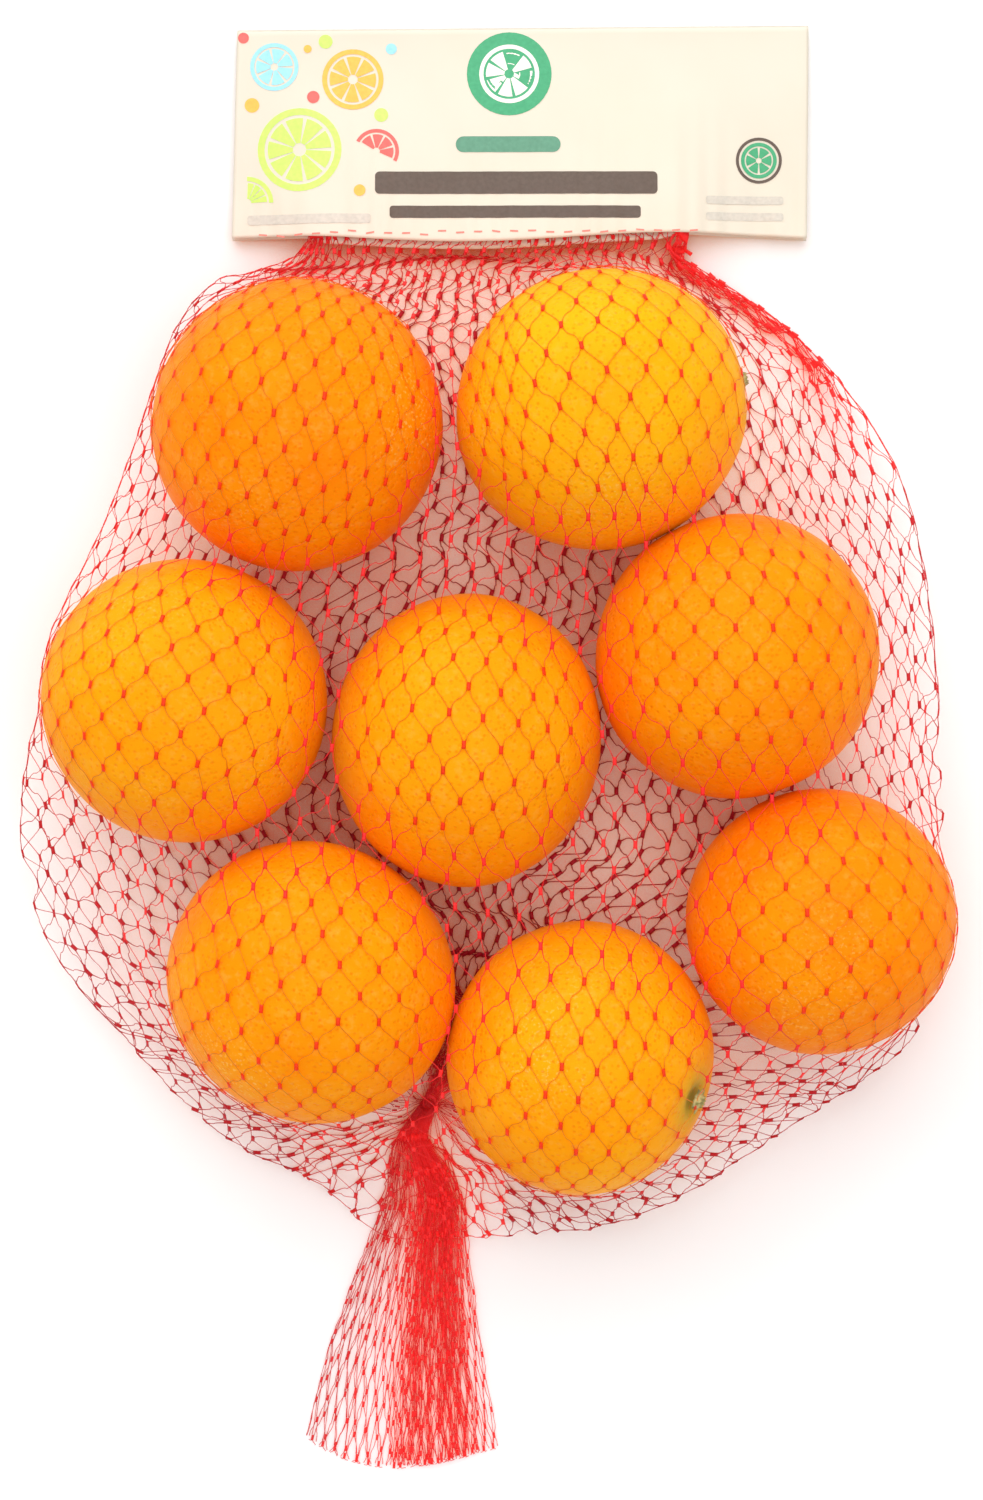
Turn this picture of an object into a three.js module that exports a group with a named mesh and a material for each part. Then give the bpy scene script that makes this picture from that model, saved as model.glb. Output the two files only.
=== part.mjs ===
// A net bag of eight oranges, lying on its back: fine netting drawn over one layer of fruit, closed at the
// head in a folded film label and gathered at the foot into a flared tail.
// Millimetres, +Z up, +Y towards the label, with the origin on the ground under the middle of the bag.
import * as THREE from "three";

const { clamp, lerp, smoothstep, degToRad } = THREE.MathUtils;

// Driving dimensions of each orange: its middle in plan, half its long and short widths, and its turn.
const fruit = [
  { x: -49.5, y: 86.3, long: 38.8, short: 38.4, turn: 45 },
  { x: 31.0, y: 90.5, long: 39.0, short: 37.0, turn: 20 },
  { x: -79.5, y: 13.1, long: 38.1, short: 37.5, turn: -30 },
  { x: -4.6, y: 2.7, long: 38.9, short: 35.7, turn: 85 },
  { x: 67.1, y: 24.9, long: 38.2, short: 37.3, turn: 50 },
  { x: 89.5, y: -45.6, long: 35.9, short: 35.3, turn: 0 },
  { x: -46.0, y: -61.5, long: 38.7, short: 36.9, turn: -30 },
  { x: 25.6, y: -81.7, long: 36.4, short: 35.3, turn: 75 },
];

// Edges of the slack netting where it lies on the ground, as [y, x] from the tail's cut end to the head.
const leftEdge = [
  [-190, -48.9], [-164, -40.6], [-137, -31.6], [-131, -31.8], [-124, -38.4], [-117, -47.5], [-110, -64],
  [-96, -82], [-82, -94.6], [-62, -112.7], [-48, -121.3], [-34, -125.2], [-20, -125.6], [0, -122.4],
  [14, -118.6], [27, -117.4], [41, -111.2], [55, -104], [75, -96], [96, -89], [116, -82], [126, -74.5],
  [132, -65], [136, -53.5], [140, -49], [148, -48],
];
const rightEdge = [
  [-190, 3.6], [-164, -1.5], [-137, -5.8], [-133.4, -3], [-132.3, 14], [-130, 30], [-123, 49.5],
  [-110, 71], [-96, 92.5], [-82, 113.5], [-75, 120], [-62, 124.4], [-46, 125.5], [-27, 124.6], [0, 123],
  [27, 121.4], [55, 118], [75, 112.5], [96, 100.4], [116, 82.6], [126, 68.5], [132, 58.5], [136, 52.5],
  [140, 55.5], [148, 56],
];

// Netting: its gap to the fruit, its thickness lying flat, how it sags, and how far a fold lifts near fruit.
const netting = { standOff: 0.8, flat: 1.6, closest: 1.0, topSag: 0.03, underSag: 0.03, foldReach: 6 };
const foldRise = { from: -128, to: -90 };

// Foot: the gathered bundle, the tail that flares from it, the pleats along the tail, and its cut end.
const bundle = { x: -15, y: -100, radius: 7, high: 7.5, left: -20, right: -10 };
const tail = { flareY: -137, section: 58, thinnest: 1.2, edgeShare: 0.55, pleats: 7, pleatHigh: 0.9 };
const cutEnd = { y: -190, dip: 8.5, lean: 0.74, from: -150 };

// Head: the flat tongue of netting in the label, the pleats below it and the rolled edge down one shoulder.
const head = { y: 139.5, tongue: 8, below: 8, thick: 1.2 };
const pleats = { count: 12, high: 1.3, run: 24, bunch: 0.22, between: 0.35 };
const roll = { wide: 9, high: 2.6, from: 137, to: 96, fade: 18 };

// Label: a film strip folded at the top, and the lift of its lower edge where it holds the netting.
const label = { left: -69, right: 88.2, leanLeft: 1.3, leanRight: 0.6, top: 198.5, slope: 1.3, film: 0.5 };
const lowerEdge = { y: 138.9, wave: 1.1, waves: 1.4, rise: 1.4, behind: 1.4 };
const pocket = { top: 0.35, bottom: 1.2, restHigh: 1.35 };
const lift = { base: 2.5, high: 6.5, leftFrom: -66, leftTo: -40, rightFrom: 48, rightTo: 76 };
const ripple = { high: 0.6, length: 82 };

// How finely the surfaces are divided, and how much the edges' own run counts in spacing the rows.
const netGridSize = { columns: 42, rows: 58, edgeShare: 0.3, sweeps: 500 };
const labelGridSize = { across: 24, down: 8 };

// A smooth curve x(y) through [y, x] pairs.
function curveThrough(pairs) {
  const ys = pairs.map((pair) => pair[0]);
  const xs = pairs.map((pair) => pair[1]);
  const curve = new THREE.CubicInterpolant(ys, xs, 1);
  return (y) => curve.evaluate(clamp(y, ys[0], ys.at(-1)))[0];
}

const slackLeft = curveThrough(leftEdge);
const slackRight = curveThrough(rightEdge);

// How far a point in plan is from an orange's middle, as a share of its half width in that direction.
function shareOf(orange, x, y) {
  const turn = degToRad(orange.turn);
  const dx = x - orange.x;
  const dy = y - orange.y;
  const along = dx * Math.cos(turn) + dy * Math.sin(turn);
  const across = dy * Math.cos(turn) - dx * Math.sin(turn);
  return Math.hypot(along / (orange.long + netting.standOff), across / (orange.short + netting.standOff));
}

// Half the height of an orange with the netting round it.
const halfHeight = (orange) => (orange.long + orange.short) / 2 + netting.standOff;

// The orange's outermost x at y, on the side given as -1 or 1, or nothing where it isn't.
function sideOf(orange, y, side) {
  let inside = orange.x;
  let outside = orange.x + side * (orange.long + orange.short);
  if (shareOf(orange, inside, y) > 1) return undefined;
  for (let step = 0; step < 30; step += 1) {
    const middle = (inside + outside) / 2;
    if (shareOf(orange, middle, y) > 1) outside = middle;
    else inside = middle;
  }
  return inside;
}

// The netting's edge in plan: the slack edge, pushed out where an orange fills it.
function edgeAt(y, side) {
  const slack = side < 0 ? slackLeft(y) : slackRight(y);
  const tight = fruit.map((orange) => sideOf(orange, y, side)).filter((x) => x !== undefined);
  return side < 0 ? Math.min(slack, ...tight) : Math.max(slack, ...tight);
}

// Rows of constant y, closer together where the edges run sideways.
function rowHeights() {
  const { rows, edgeShare } = netGridSize;
  const steps = 20 * rows;
  const yAt = (step) => lerp(cutEnd.y, head.y + head.tongue, step / steps);
  const run = [0];
  for (let step = 1; step <= steps; step += 1) {
    const [y, before] = [yAt(step), yAt(step - 1)];
    const moved = (side) => Math.abs(edgeAt(y, side) - edgeAt(before, side));
    run.push(run[step - 1] + (y - before) + edgeShare * (moved(-1) + moved(1)));
  }
  const heights = [];
  let step = 0;
  for (let row = 0; row <= rows; row += 1) {
    const wanted = (run[steps] * row) / rows;
    while (step < steps && run[step + 1] < wanted) step += 1;
    const share = step < steps ? (wanted - run[step]) / (run[step + 1] - run[step]) : 0;
    heights.push(yAt(step + share));
  }
  return heights;
}

// How far the tail's cut end hangs below its left corner, across the tail.
function cutEndDip(share, y) {
  return cutEnd.dip * Math.sin(Math.PI * cutEnd.lean * share) * smoothstep(-y, -cutEnd.from, -cutEnd.y);
}

// The height of the gathered bundle and of the tail that flares from it.
function tailTop(x, y) {
  const out = Math.hypot(x - bundle.x, y - bundle.y) / bundle.radius;
  const knot = out < 1 ? bundle.high * Math.sqrt(1 - out ** 2) : 0;
  if (y > bundle.y) return knot;
  const flare = clamp((bundle.y - y) / (bundle.y - tail.flareY), 0, 1);
  const left = flare < 1 ? lerp(bundle.left, slackLeft(tail.flareY), flare) : slackLeft(y);
  const right = flare < 1 ? lerp(bundle.right, slackRight(tail.flareY), flare) : slackRight(y);
  const share = (2 * (x - left)) / (right - left) - 1;
  if (Math.abs(share) > 1.001) return knot;
  const thick = Math.max(tail.thinnest, tail.section / (right - left));
  const round = lerp(tail.edgeShare, 1, Math.sqrt(Math.max(0, 1 - share ** 4)));
  return Math.max(knot, thick * round + tail.pleatHigh * Math.cos(Math.PI * tail.pleats * share) ** 2);
}

// The middle of the label's pocket above the ground, which the head of the netting follows.
function pocketMiddle(x, y) {
  const bulge = smoothstep(x, lift.leftFrom, lift.leftTo) * (1 - smoothstep(x, lift.rightFrom, lift.rightTo));
  const held = lift.base + lift.high * bulge + ripple.high * Math.sin((2 * Math.PI * x) / ripple.length);
  const down = clamp((label.top - y) / (label.top - head.y), 0, 1);
  return lerp(pocket.restHigh, held, down ** 1.5);
}

// Relief of the pleats gathered under the label, strongest at both ends, and of the rolled edge.
function headRelief(share, x, y) {
  const near = smoothstep(y, head.y - pleats.run, head.y - 2);
  const bunched = Math.max(1 - share / pleats.bunch, 1 - (1 - share) / pleats.bunch, 0);
  const wave = Math.cos(Math.PI * pleats.count * share) ** 2;
  const along = smoothstep(y, roll.to, roll.to + roll.fade) * (1 - smoothstep(y, roll.from, roll.from + 3));
  const across = Math.sin(Math.PI * clamp((edgeAt(y, 1) - x) / roll.wide, 0, 1));
  return pleats.high * near * lerp(pleats.between, 1, bunched) * wave + roll.high * along * across;
}

// What holds a point up or down: the fruit, the bundle, the label's pocket, and the fold at the edge.
function shapePoint(point, isRim) {
  const inTail = point.y < tail.flareY + 3;
  point.inTongue = point.y > head.y - head.below;
  point.fixed = isRim || point.inTongue;
  point.floor = Math.max(netting.flat, tailTop(point.x, point.y) + (inTail ? 0 : netting.closest));
  point.ceiling = Infinity;
  let fold = 0;
  for (const orange of fruit) {
    const share = shareOf(orange, point.x, point.y);
    const half = halfHeight(orange);
    if (share < 1) {
      point.floor = Math.max(point.floor, half + half * Math.sqrt(1 - share ** 2));
      point.ceiling = Math.min(point.ceiling, half - half * Math.sqrt(1 - share ** 2));
    }
    fold = Math.max(fold, half * Math.exp((-Math.max(0, share - 1) * half) / netting.foldReach));
  }
  point.upper = point.floor;
  point.lower = 0;
  if (point.inTongue) {
    point.upper = pocketMiddle(point.x, point.y) + head.thick / 2;
    point.lower = point.upper - head.thick;
  } else if (isRim && !inTail) {
    fold *= smoothstep(point.y, foldRise.from, foldRise.to);
    point.lower = Math.max(0, fold - netting.flat / 2);
    point.upper = Math.max(netting.flat, fold + netting.flat / 2);
  }
}

// One sweep of the two layers as sheets of string: each point goes where its neighbours pull it, and sags.
function relax(grid) {
  for (let row = 1; row < grid.length - 1; row += 1) {
    for (let column = 1; column < grid[row].length - 1; column += 1) {
      const point = grid[row][column];
      if (point.fixed) continue;
      const sum = { pull: 0, upper: 0, lower: 0, reach: 0 };
      for (const [down, along] of [[-1, 0], [1, 0], [0, -1], [0, 1]]) {
        const other = grid[row + down][column + along];
        const apart = Math.hypot(other.x - point.x, other.y - point.y);
        sum.pull += 1 / apart;
        sum.upper += other.upper / apart;
        sum.lower += other.lower / apart;
        sum.reach += apart ** 2 / 8;
      }
      point.upper = Math.max(point.floor, sum.upper / sum.pull - netting.topSag * sum.reach);
      point.lower = clamp(sum.lower / sum.pull - netting.underSag * sum.reach, 0, point.ceiling);
    }
  }
}

// The netting's grid: for each point its place in plan, and the heights of the upper and lower layers.
function netGrid() {
  const { columns, rows, sweeps } = netGridSize;
  const grid = rowHeights().map((y) => {
    const [left, right] = [edgeAt(y, -1), edgeAt(y, 1)];
    return Array.from({ length: columns + 1 }, (_, column) => {
      const share = column / columns;
      return { share, x: lerp(left, right, share), y: y - cutEndDip(share, y) };
    });
  });
  grid.forEach((line, row) => {
    line.forEach((point, column) => shapePoint(point, row % rows === 0 || column % columns === 0));
  });
  for (let sweep = 0; sweep < sweeps; sweep += 1) relax(grid);
  for (const point of grid.flat()) {
    if (!point.fixed) point.upper += headRelief(point.share, point.x, point.y);
    point.upper = Math.max(point.upper, point.lower + netting.closest);
  }
  return grid;
}

// A closed solid between an upper and a lower grid of points with the same rows and columns.
function solidBetween(upper, lower) {
  const lines = upper.length;
  const across = upper[0].length;
  const positions = [...upper.flat(), ...lower.flat()].flatMap((p) => [p.x, p.y, p.z]);
  const top = (row, column) => row * across + column;
  const bottom = (row, column) => lines * across + top(row, column);
  const faces = [];
  const quad = (a, b, c, d) => faces.push(a, b, c, a, c, d);
  const wall = (from, to) => quad(top(...from), top(...to), bottom(...to), bottom(...from));
  for (let row = 0; row < lines - 1; row += 1) {
    for (let column = 0; column < across - 1; column += 1) {
      quad(top(row, column), top(row, column + 1), top(row + 1, column + 1), top(row + 1, column));
      const next = bottom(row + 1, column);
      quad(bottom(row, column), next, next + 1, bottom(row, column + 1));
    }
    wall([row, 0], [row + 1, 0]);
    wall([row + 1, across - 1], [row, across - 1]);
  }
  for (let column = 0; column < across - 1; column += 1) {
    wall([0, column + 1], [0, column]);
    wall([lines - 1, column], [lines - 1, column + 1]);
  }
  const geometry = new THREE.BufferGeometry();
  geometry.setAttribute("position", new THREE.Float32BufferAttribute(positions, 3));
  geometry.setIndex(faces);
  geometry.computeVertexNormals();
  return geometry;
}

// The netting with the fruit in it.
function netBag() {
  const grid = netGrid();
  const layer = (name) => grid.map((line) => line.map((p) => ({ x: p.x, y: p.y, z: p[name] })));
  return solidBetween(layer("upper"), layer("lower"));
}

// One face of the label's film, from the lower edge in front, up over the fold, and down to the edge behind.
function filmFace(offset) {
  const { across, down } = labelGridSize;
  const lines = [];
  for (let step = -down; step <= down; step += 1) {
    const up = 1 - Math.abs(step) / down;
    const side = Math.sign(-step);
    const left = label.left + label.leanLeft * up;
    const right = label.right + label.leanRight * up;
    const open = lerp(pocket.top, pocket.bottom, smoothstep(1 - up, 0, 0.5)) + offset;
    lines.push(
      Array.from({ length: across + 1 }, (_, column) => {
        const share = column / across;
        const wave = lowerEdge.wave * Math.sin(2 * Math.PI * lowerEdge.waves * share + 1);
        const edge = lowerEdge.y + wave + lowerEdge.rise * share - (side < 0 ? lowerEdge.behind : 0);
        const fold = label.top - label.slope * (1 - share) + offset - label.film / 2;
        const y = lerp(edge, fold, up);
        const x = lerp(left, right, share);
        return { x, y, z: pocketMiddle(x, y) + side * open };
      }),
    );
  }
  return lines;
}

// The folded label as one solid film.
const headerLabel = () => solidBetween(filmFace(label.film / 2), filmFace(-label.film / 2));

const netRed = new THREE.MeshStandardMaterial({ color: 0xd8281e, roughness: 0.5, metalness: 0 });
const filmCream = new THREE.MeshStandardMaterial({ color: 0xf7edd6, roughness: 0.4, metalness: 0 });

function named(name, geometry, material) {
  const mesh = new THREE.Mesh(geometry, material);
  mesh.name = name;
  return mesh;
}

const bag = new THREE.Group();
bag.add(named("net_bag", netBag(), netRed));
bag.add(named("header_label", headerLabel(), filmCream));

// The origin goes to the middle of the whole in plan, at the ground.
const whole = new THREE.Box3().setFromObject(bag);
bag.position.set(-(whole.min.x + whole.max.x) / 2, -(whole.min.y + whole.max.y) / 2, -whole.min.z);

export default bag;
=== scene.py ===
import math

import bmesh
import bpy
import numpy as np
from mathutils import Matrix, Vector, noise


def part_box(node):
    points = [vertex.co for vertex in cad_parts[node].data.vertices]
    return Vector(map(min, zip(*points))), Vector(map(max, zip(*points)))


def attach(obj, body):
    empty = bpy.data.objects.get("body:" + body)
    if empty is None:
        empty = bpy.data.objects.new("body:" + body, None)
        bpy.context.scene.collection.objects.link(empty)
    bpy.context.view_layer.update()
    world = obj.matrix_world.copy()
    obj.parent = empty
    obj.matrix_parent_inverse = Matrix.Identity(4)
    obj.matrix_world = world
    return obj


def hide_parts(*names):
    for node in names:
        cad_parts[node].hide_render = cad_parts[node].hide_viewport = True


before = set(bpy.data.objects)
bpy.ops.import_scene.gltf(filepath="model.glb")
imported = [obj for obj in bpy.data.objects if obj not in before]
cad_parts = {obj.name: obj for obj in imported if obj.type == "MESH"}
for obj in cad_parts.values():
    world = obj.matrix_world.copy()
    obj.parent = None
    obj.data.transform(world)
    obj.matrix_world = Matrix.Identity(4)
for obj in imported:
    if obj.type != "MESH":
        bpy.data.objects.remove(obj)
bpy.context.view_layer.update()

bl_info = {
    "name": "Net of oranges",
    "version": (1, 0, 0),
    "blender": (4, 5, 0),
    "location": "3D View > Sidebar > Net of oranges",
    "description": "Dresses a packed net bag: the fruit, the settled netting and the folded label",
    "category": "Object",
}

MM = 0.001
SEED = 11

# The fruit in plan, in millimetres: middle x and y, half the long and short widths, and turn in degrees.
FRUIT = (
    (-49.5, 86.3, 38.8, 38.4, 45),
    (31.0, 90.5, 39.0, 37.0, 20),
    (-79.5, 13.1, 38.1, 37.5, -30),
    (-4.6, 2.7, 38.9, 35.7, 85),
    (67.1, 24.9, 38.2, 37.3, 50),
    (89.5, -45.6, 35.9, 35.3, 0),
    (-46.0, -61.5, 38.7, 36.9, -30),
    (25.6, -81.7, 36.4, 35.3, 75),
)
FRUIT_LIFT = 0.9
# How ripe each orange is, from red to yellow; which way the stem buttons that show point; the greenish side.
RIPENESS = (0.24, 0.74, 0.48, 0.47, 0.31, 0.21, 0.38, 0.53)
STEMS = {1: (0.975, 0.21, -0.03), 7: (0.86, -0.29, 0.42)}
GREENISH = 3
# An orange's surface: how fine its ball is, how far down a hidden stem points, its slow swells, its pebbling,
# and the dimple with a pit at its stem.
BALL_LEVEL, STEM_DOWN = 6, -1.2
SWELLS, SWELL_HIGH, PEBBLES, PEBBLE_HIGH = 1.6, 0.45, 21, 0.07
PIT_DEEP, PIT_WIDE, DIMPLE_DEEP, DIMPLE_WIDE = 1.1, 0.006, 0.8, 0.03
# How its ripeness varies: by its swells, from below to above as painted light from above, and green round a
# stem and on one side.
RIPE_SWELL, PAINTED_LIGHT_ABOVE, GREEN_STEM, GREEN_WIDE = 0.10, 0.05, 0.8, 0.024
GREEN_SIDE, GREEN_FROM, GREEN_SPAN, GREENISH_HALF, ORANGE_HALF = 0.35, 0.72, 0.28, 37, 38
# A stem button: how wide it is, how deep it sits, and how finely it is divided.
BUTTON_WIDE, BUTTON_SUNK, BUTTON_RINGS, BUTTON_SPOKES = 3.1, 1.5, 15, 56
# Its ragged edge: leaves, teeth and fine teeth, each with their count and share of the width; and its crumbs.
LEAVES, LEAF_RAGGED, TEETH, TOOTH, FINE_TEETH, FINE_TOOTH = 5, 0.20, 13, 0.09, 29, 0.04
BUTTON_FROM, CRUMBS = 0.02, 0.03
# Its profile from middle to edge: the hollow of the stem, the ring of its scar, and the leaves.
BUTTON_HIGH, HOLLOW_DEEP, HOLLOW_WIDE = 0.8, 1.3, 0.26
SCAR_HIGH, SCAR_AT, SCAR_WIDE, SCAR_UNEVEN, SCAR_LUMPS = 1.1, 0.42, 0.13, 0.25, 7
LEAF_HIGH, LEAF_POWER, LEAF_CURL = 0.8, 0.6, 0.22
# Where it is painted dark as shade: in its hollow and under its rim.
SHADE_IN_HOLLOW, SHADE_UNDER_RIM, SHADE_UNDER_RIM_FROM = 0.27, 0.55, 0.82

# The label in millimetres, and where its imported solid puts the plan's zero.
LABEL_LEFT, LABEL_RIGHT, LABEL_TOP, LABEL_EDGE = -69.0, 88.2, 198.5, 138.9
LABEL_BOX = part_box("header_label")
PLAN_X = LABEL_BOX[0][0] / MM - LABEL_LEFT
PLAN_Y = LABEL_BOX[1][1] / MM - LABEL_TOP

# The lean of the label's sides, the slope of its fold, and the run of its lower edges, as in its solid.
LABEL_LEAN_LEFT, LABEL_LEAN_RIGHT, LABEL_SLOPE = 1.3, 0.6, 1.3
EDGE_WAVE, EDGE_WAVES, EDGE_RISE, EDGE_BEHIND = 1.1, 1.4, 1.4, 1.4

# The label's pocket: where it swells and how high, its ripple, and how far its faces stand off its middle.
SWELL_LEFT, SWELL_RIGHT = (-66.0, -40.0), (48.0, 76.0)
POCKET_FLAT, POCKET_EDGE, POCKET_SWELL, POCKET_POWER = 1.35, 2.5, 6.5, 1.5
RIPPLE_HIGH, RIPPLE_LONG = 0.6, 82.0
FACE_SHUT, FACE_OPENS, FACE_OPEN_BY, FACE_PROUD = 0.35, 0.85, 0.5, 0.16
FILM_HALF = 0.09
FILM_DOWN, FILM_ACROSS = 66, 170
# The film's creases, in millimetres high and radians a millimetre: along the edge that grips the netting,
# slow waves, and slanting creases, which are less deep above; and the share of them on the back face.
GRIP_HIGH, GRIP_X, GRIP_SWAY, GRIP_SWAY_X = 0.22, 0.9, 1.5, 0.21
SLOW_HIGH, SLOW_X, SLOW_Y = 0.25, 0.083, 0.11
SLANT_HIGH, SLANT_X, SLANT_Y, SLANT_SWAY, SLANT_SWAY_X, SLANT_ABOVE = 0.12, 0.31, 0.24, 1.3, 0.07, 0.4
BACK_CREASED = 0.5
# Where the back face's lower edge is higher, and how much shorter that face is.
BEHIND_LEFT, BEHIND_RIGHT, BEHIND_SHORT = (-50.0, -42.0), (46.0, 54.0), 0.4
# The print's height over the film, and the welds: from where to where, their step, half sizes,
# heights, and how far they stray and lean.
INK_UP, INK_STEP = 0.10, 0.02
WELD_FROM, WELD_TO, WELD_STEP, WELD_UP = -60.5, 58.0, 4.9, 1.5
WELD_LONG, WELD_WIDE, WELD_PROUD = 1.1, 0.22, 0.12
WELD_STRAY, WELD_LEAN, LABEL_WIDE = 0.25, 0.08, 157
# How finely bars and discs are cut, in millimetres, degrees and steps, and how narrow a bar's end may get.
BAND_STEP, CAP_STEPS, CAP_LEAST, DISC_DEGREES, DISC_RINGS = 1.5, 6, 0.0025, 9, 5
# A printed citrus fruit: its core, its flesh, and the gap at each side of a segment, as shares.
CORE, FLESH, GAP = 0.16, 0.92, 0.09

# The foot of the netting in millimetres: its knot, and the bundle of its back layer that leads there.
KNOT = (-15.0, -96.5, 2.6)
KNOT_RADIUS = 1.7
BUNDLE, BUNDLE_WIDE, BUNDLE_HELD = (-10.5, -88.0, 4.0), 4.5, 7.0
# Below TURN_Y the columns run straight down to the foot; at HEAD_Y they enter the label, up to POCKET_Y.
TURN_Y, FOOT_Y = -20.0, -133.5
HEAD_Y, POCKET_Y = 139.5, 154.0
# Below the label the netting spreads over the neck's length, longer towards its middle.
NECK_LONG, NECK_MORE = 13.0, 20.0
# Where columns leave the label: its left fold, the gathered left end, the even middle, the gathered right.
GATHER_X, GATHER_LEFT, GATHER_EVEN, GATHER_RIGHT = -47.5, 3.5, 97.0, 3.0
EVEN_FROM, EVEN_SPAN, EVEN_TO, GATHERED_SPAN = 0.17, 0.62, 0.79, 0.21
# Inside the label: how far the front and back layers are from its middle, and how far its top edge leans.
FRONT_INSIDE, BACK_INSIDE, POCKET_LEAN = 0.35, -0.45, 2.0
# How a column's line is drawn: its steps, how the neck widens, how high its back and its hem lie,
# and how far past the outline it may run to the hem.
PATH_STEP, HEAD_STEP, FAN_POWER = 3.0, 5.0, 0.8
NECK_WIDENS = (0.05, 0.3)
BACK_LIES, HEM_LIES, HEM_REACH = 0.4, 1.0, 0.5
# The lowest that front joints, back joints, the middle of a string and the edge of a bar may lie.
FRONT_LOWEST, BACK_LOWEST, STRING_LOWEST, BAR_LOWEST = 0.9, 0.3, 0.17, 0.04
# How clear of the peel joints and strings stay; the least share of its radius that a point is pushed out
# from; and a distance beyond every peel.
JOINT_CLEAR, STRING_CLEAR, DEEPEST, FAR = 0.45, 0.2, 0.2, 99.0

# How the netting settles. Held from the start: rows in the label. Drawn to the outline: columns at the sides
# up to a height, and what is near the edge of the foot.
LABEL_ROWS, FOOT_ROWS = 3, 7
HEM_COLUMNS, HEM_TOP, HEM_WIDE, HEM_HIGH, HEM_DRAWN = 0.8, 128.0, 4.6, 6.0, 0.5
# How wide and high meshes are kept open and how stiffly, how stiff short strings are, and how unequal the
# strings are.
OPEN_SHARE, OPEN_MOST, MESH_HIGH, MESH_STIFF = 0.92, 7.6, 12.0, 0.04
SHORT_STIFF, UNEVEN_STRINGS = 0.2, 0.02
# How far joints first stray, how far they sink at each sweep, and how slack netting evens itself out.
FIRST_STRAY, STRAY_SHARE, SINK = 0.4, (1.0, 1.0, 0.2), 0.01
SLACK_EVERY, SLACK_CLEAR, SLACK_EVENS = 4, 1.2, 0.05

# The rope of netting down the right shoulder: its share of the columns, where it comes apart, how deep inside
# the edge its columns lie, how high, and how far its joints stray along x, y and z.
ROPE_SHARE, ROPE_HOLDS, ROPE_ENDS = 0.068, 103.0, 66.0
ROPE_EDGE, ROPE_DEEP, ROPE_LOW, ROPE_RISES = 0.5, 3.8, 1.2, 0.4
ROPE_STRAY, ROPE_EVEN_FROM = (0.7, 1.8, 0.5), 132.0

# The tail's edges: y, left and right.
TAIL_EDGES = (
    (-190.5, -49.3, 4.4), (-163.0, -42.2, -0.4), (-137.0, -32.6, -4.2), (-128.0, -28.8, -5.2),
    (-119.0, -25.9, -6.2), (-112.0, -25.9, -11.5), (-107.6, -25.1, -14.8), (-102.0, -20.8, -17.6),
)
# The tail's folds: how far round the tube, how far across the tail, how high.
TAIL_FOLDS = (
    (0.000, 0.00, 0.9), (0.008, 0.00, 0.9), (0.105, 0.37, 1.5), (0.165, 0.60, 2.1), (0.215, 0.44, 1.8),
    (0.300, 0.84, 2.3), (0.375, 0.62, 1.6), (0.490, 1.00, 1.0), (0.585, 0.70, 0.6), (0.665, 0.90, 1.2),
    (0.745, 0.50, 0.9), (0.800, 0.66, 0.5), (0.895, 0.37, 0.6), (0.992, 0.00, 0.9), (1.000, 0.00, 0.9),
)
# The tail's cut end: its y, its bow and its lean, and how much of a row and of a string are left at the cut.
TAIL_END_Y, TAIL_DIP, TAIL_LEAN, TAIL_STUB, TAIL_CUT = -189.5, 7.0, 2.6, 0.45, 0.8
TAIL_ABOVE_CUT, TAIL_BOW = 1.8, 0.8
# How uneven its rows are: waves round the tube by height, count and start, and at random.
TAIL_WAVES, TAIL_UNEVEN = ((2.4, 7, 1.0), (1.7, 17, 0.0)), 0.7
# How the rows spread from the knot, how its root rises, and how far its joints stray along x, y and z.
TAIL_START, TAIL_SPREAD, TAIL_ROOT_RISES, TAIL_STRAY = 0.6, 0.96, 1.6, (0.35, 0.0, 0.12)
# The plan's box round the root of the tail, where strings may leave the bag's outline.
ROOT_TOP, ROOT_LEFT, ROOT_RIGHT = -99.0, -36.0, -1.0

# Where the netting is painted lit, the rest being in painted shade: high up, in the tail but less in its open
# left side, at the label, along the rope and round the knot. Each pair says where that begins and where it is
# full.
LIT_HIGH, LIT_RISES = 0.9, (14.0, 38.0)
LIT_TAIL, LIT_TAIL_LEFT, LIT_TAIL_RIGHT = (96.0, 106.0), -52.0, 6.0
TAIL_SLANT, TAIL_SLANT_FROM, OPEN_SIDE, OPEN_SIDE_ENDS = 0.25, 100.0, 0.55, (-26.0, -8.0)
LIT_LABEL, LIT_LABEL_RISES = 0.8, (118.0, 132.0)
LIT_ROPE_X, LIT_ROPE_Y, ROPE_SLANT, LIT_ROPE = (45.0, 60.0), (60.0, 85.0), 0.78, (152.0, 168.0)
LIT_KNOT, LIT_KNOT_WIDE = (KNOT[0] + 4, KNOT[1] + 3), 12.0
# How near the peel netting is painted in the peel's glow, the peel's colour seen through and off it, and how
# far from the knot it is drawn thin.
PEEL_GLOW_NEAR, THIN_NEAR = (0.6, 1.8), (3.0, 26.0)
# How clear its plastic is, what colour comes through, and from which red it is given a painted glow and how
# much at most.
NET_CLEAR_SHARE, NET_CLEAR, PAINTED_GLOW_FROM, PAINTED_GLOW_MOST = 0.38, (1.0, 0.36, 0.32), 0.80, 0.17

# A joint's bar as rings along it, each with its share of the length and of the width; a string's thick ends.
BAR_RINGS = ((-1.0, 0.92), (-0.35, 0.86), (0.35, 0.86), (1.0, 0.92))
STRING_ENDS = 1.35
# How thin strings and bars are at the knot and in the tail, and how much of a bar's length never shrinks.
STRING_THIN, BAR_THIN, BAR_SHORT = (0.6, 0.8), (0.38, 0.66), 0.3
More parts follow.
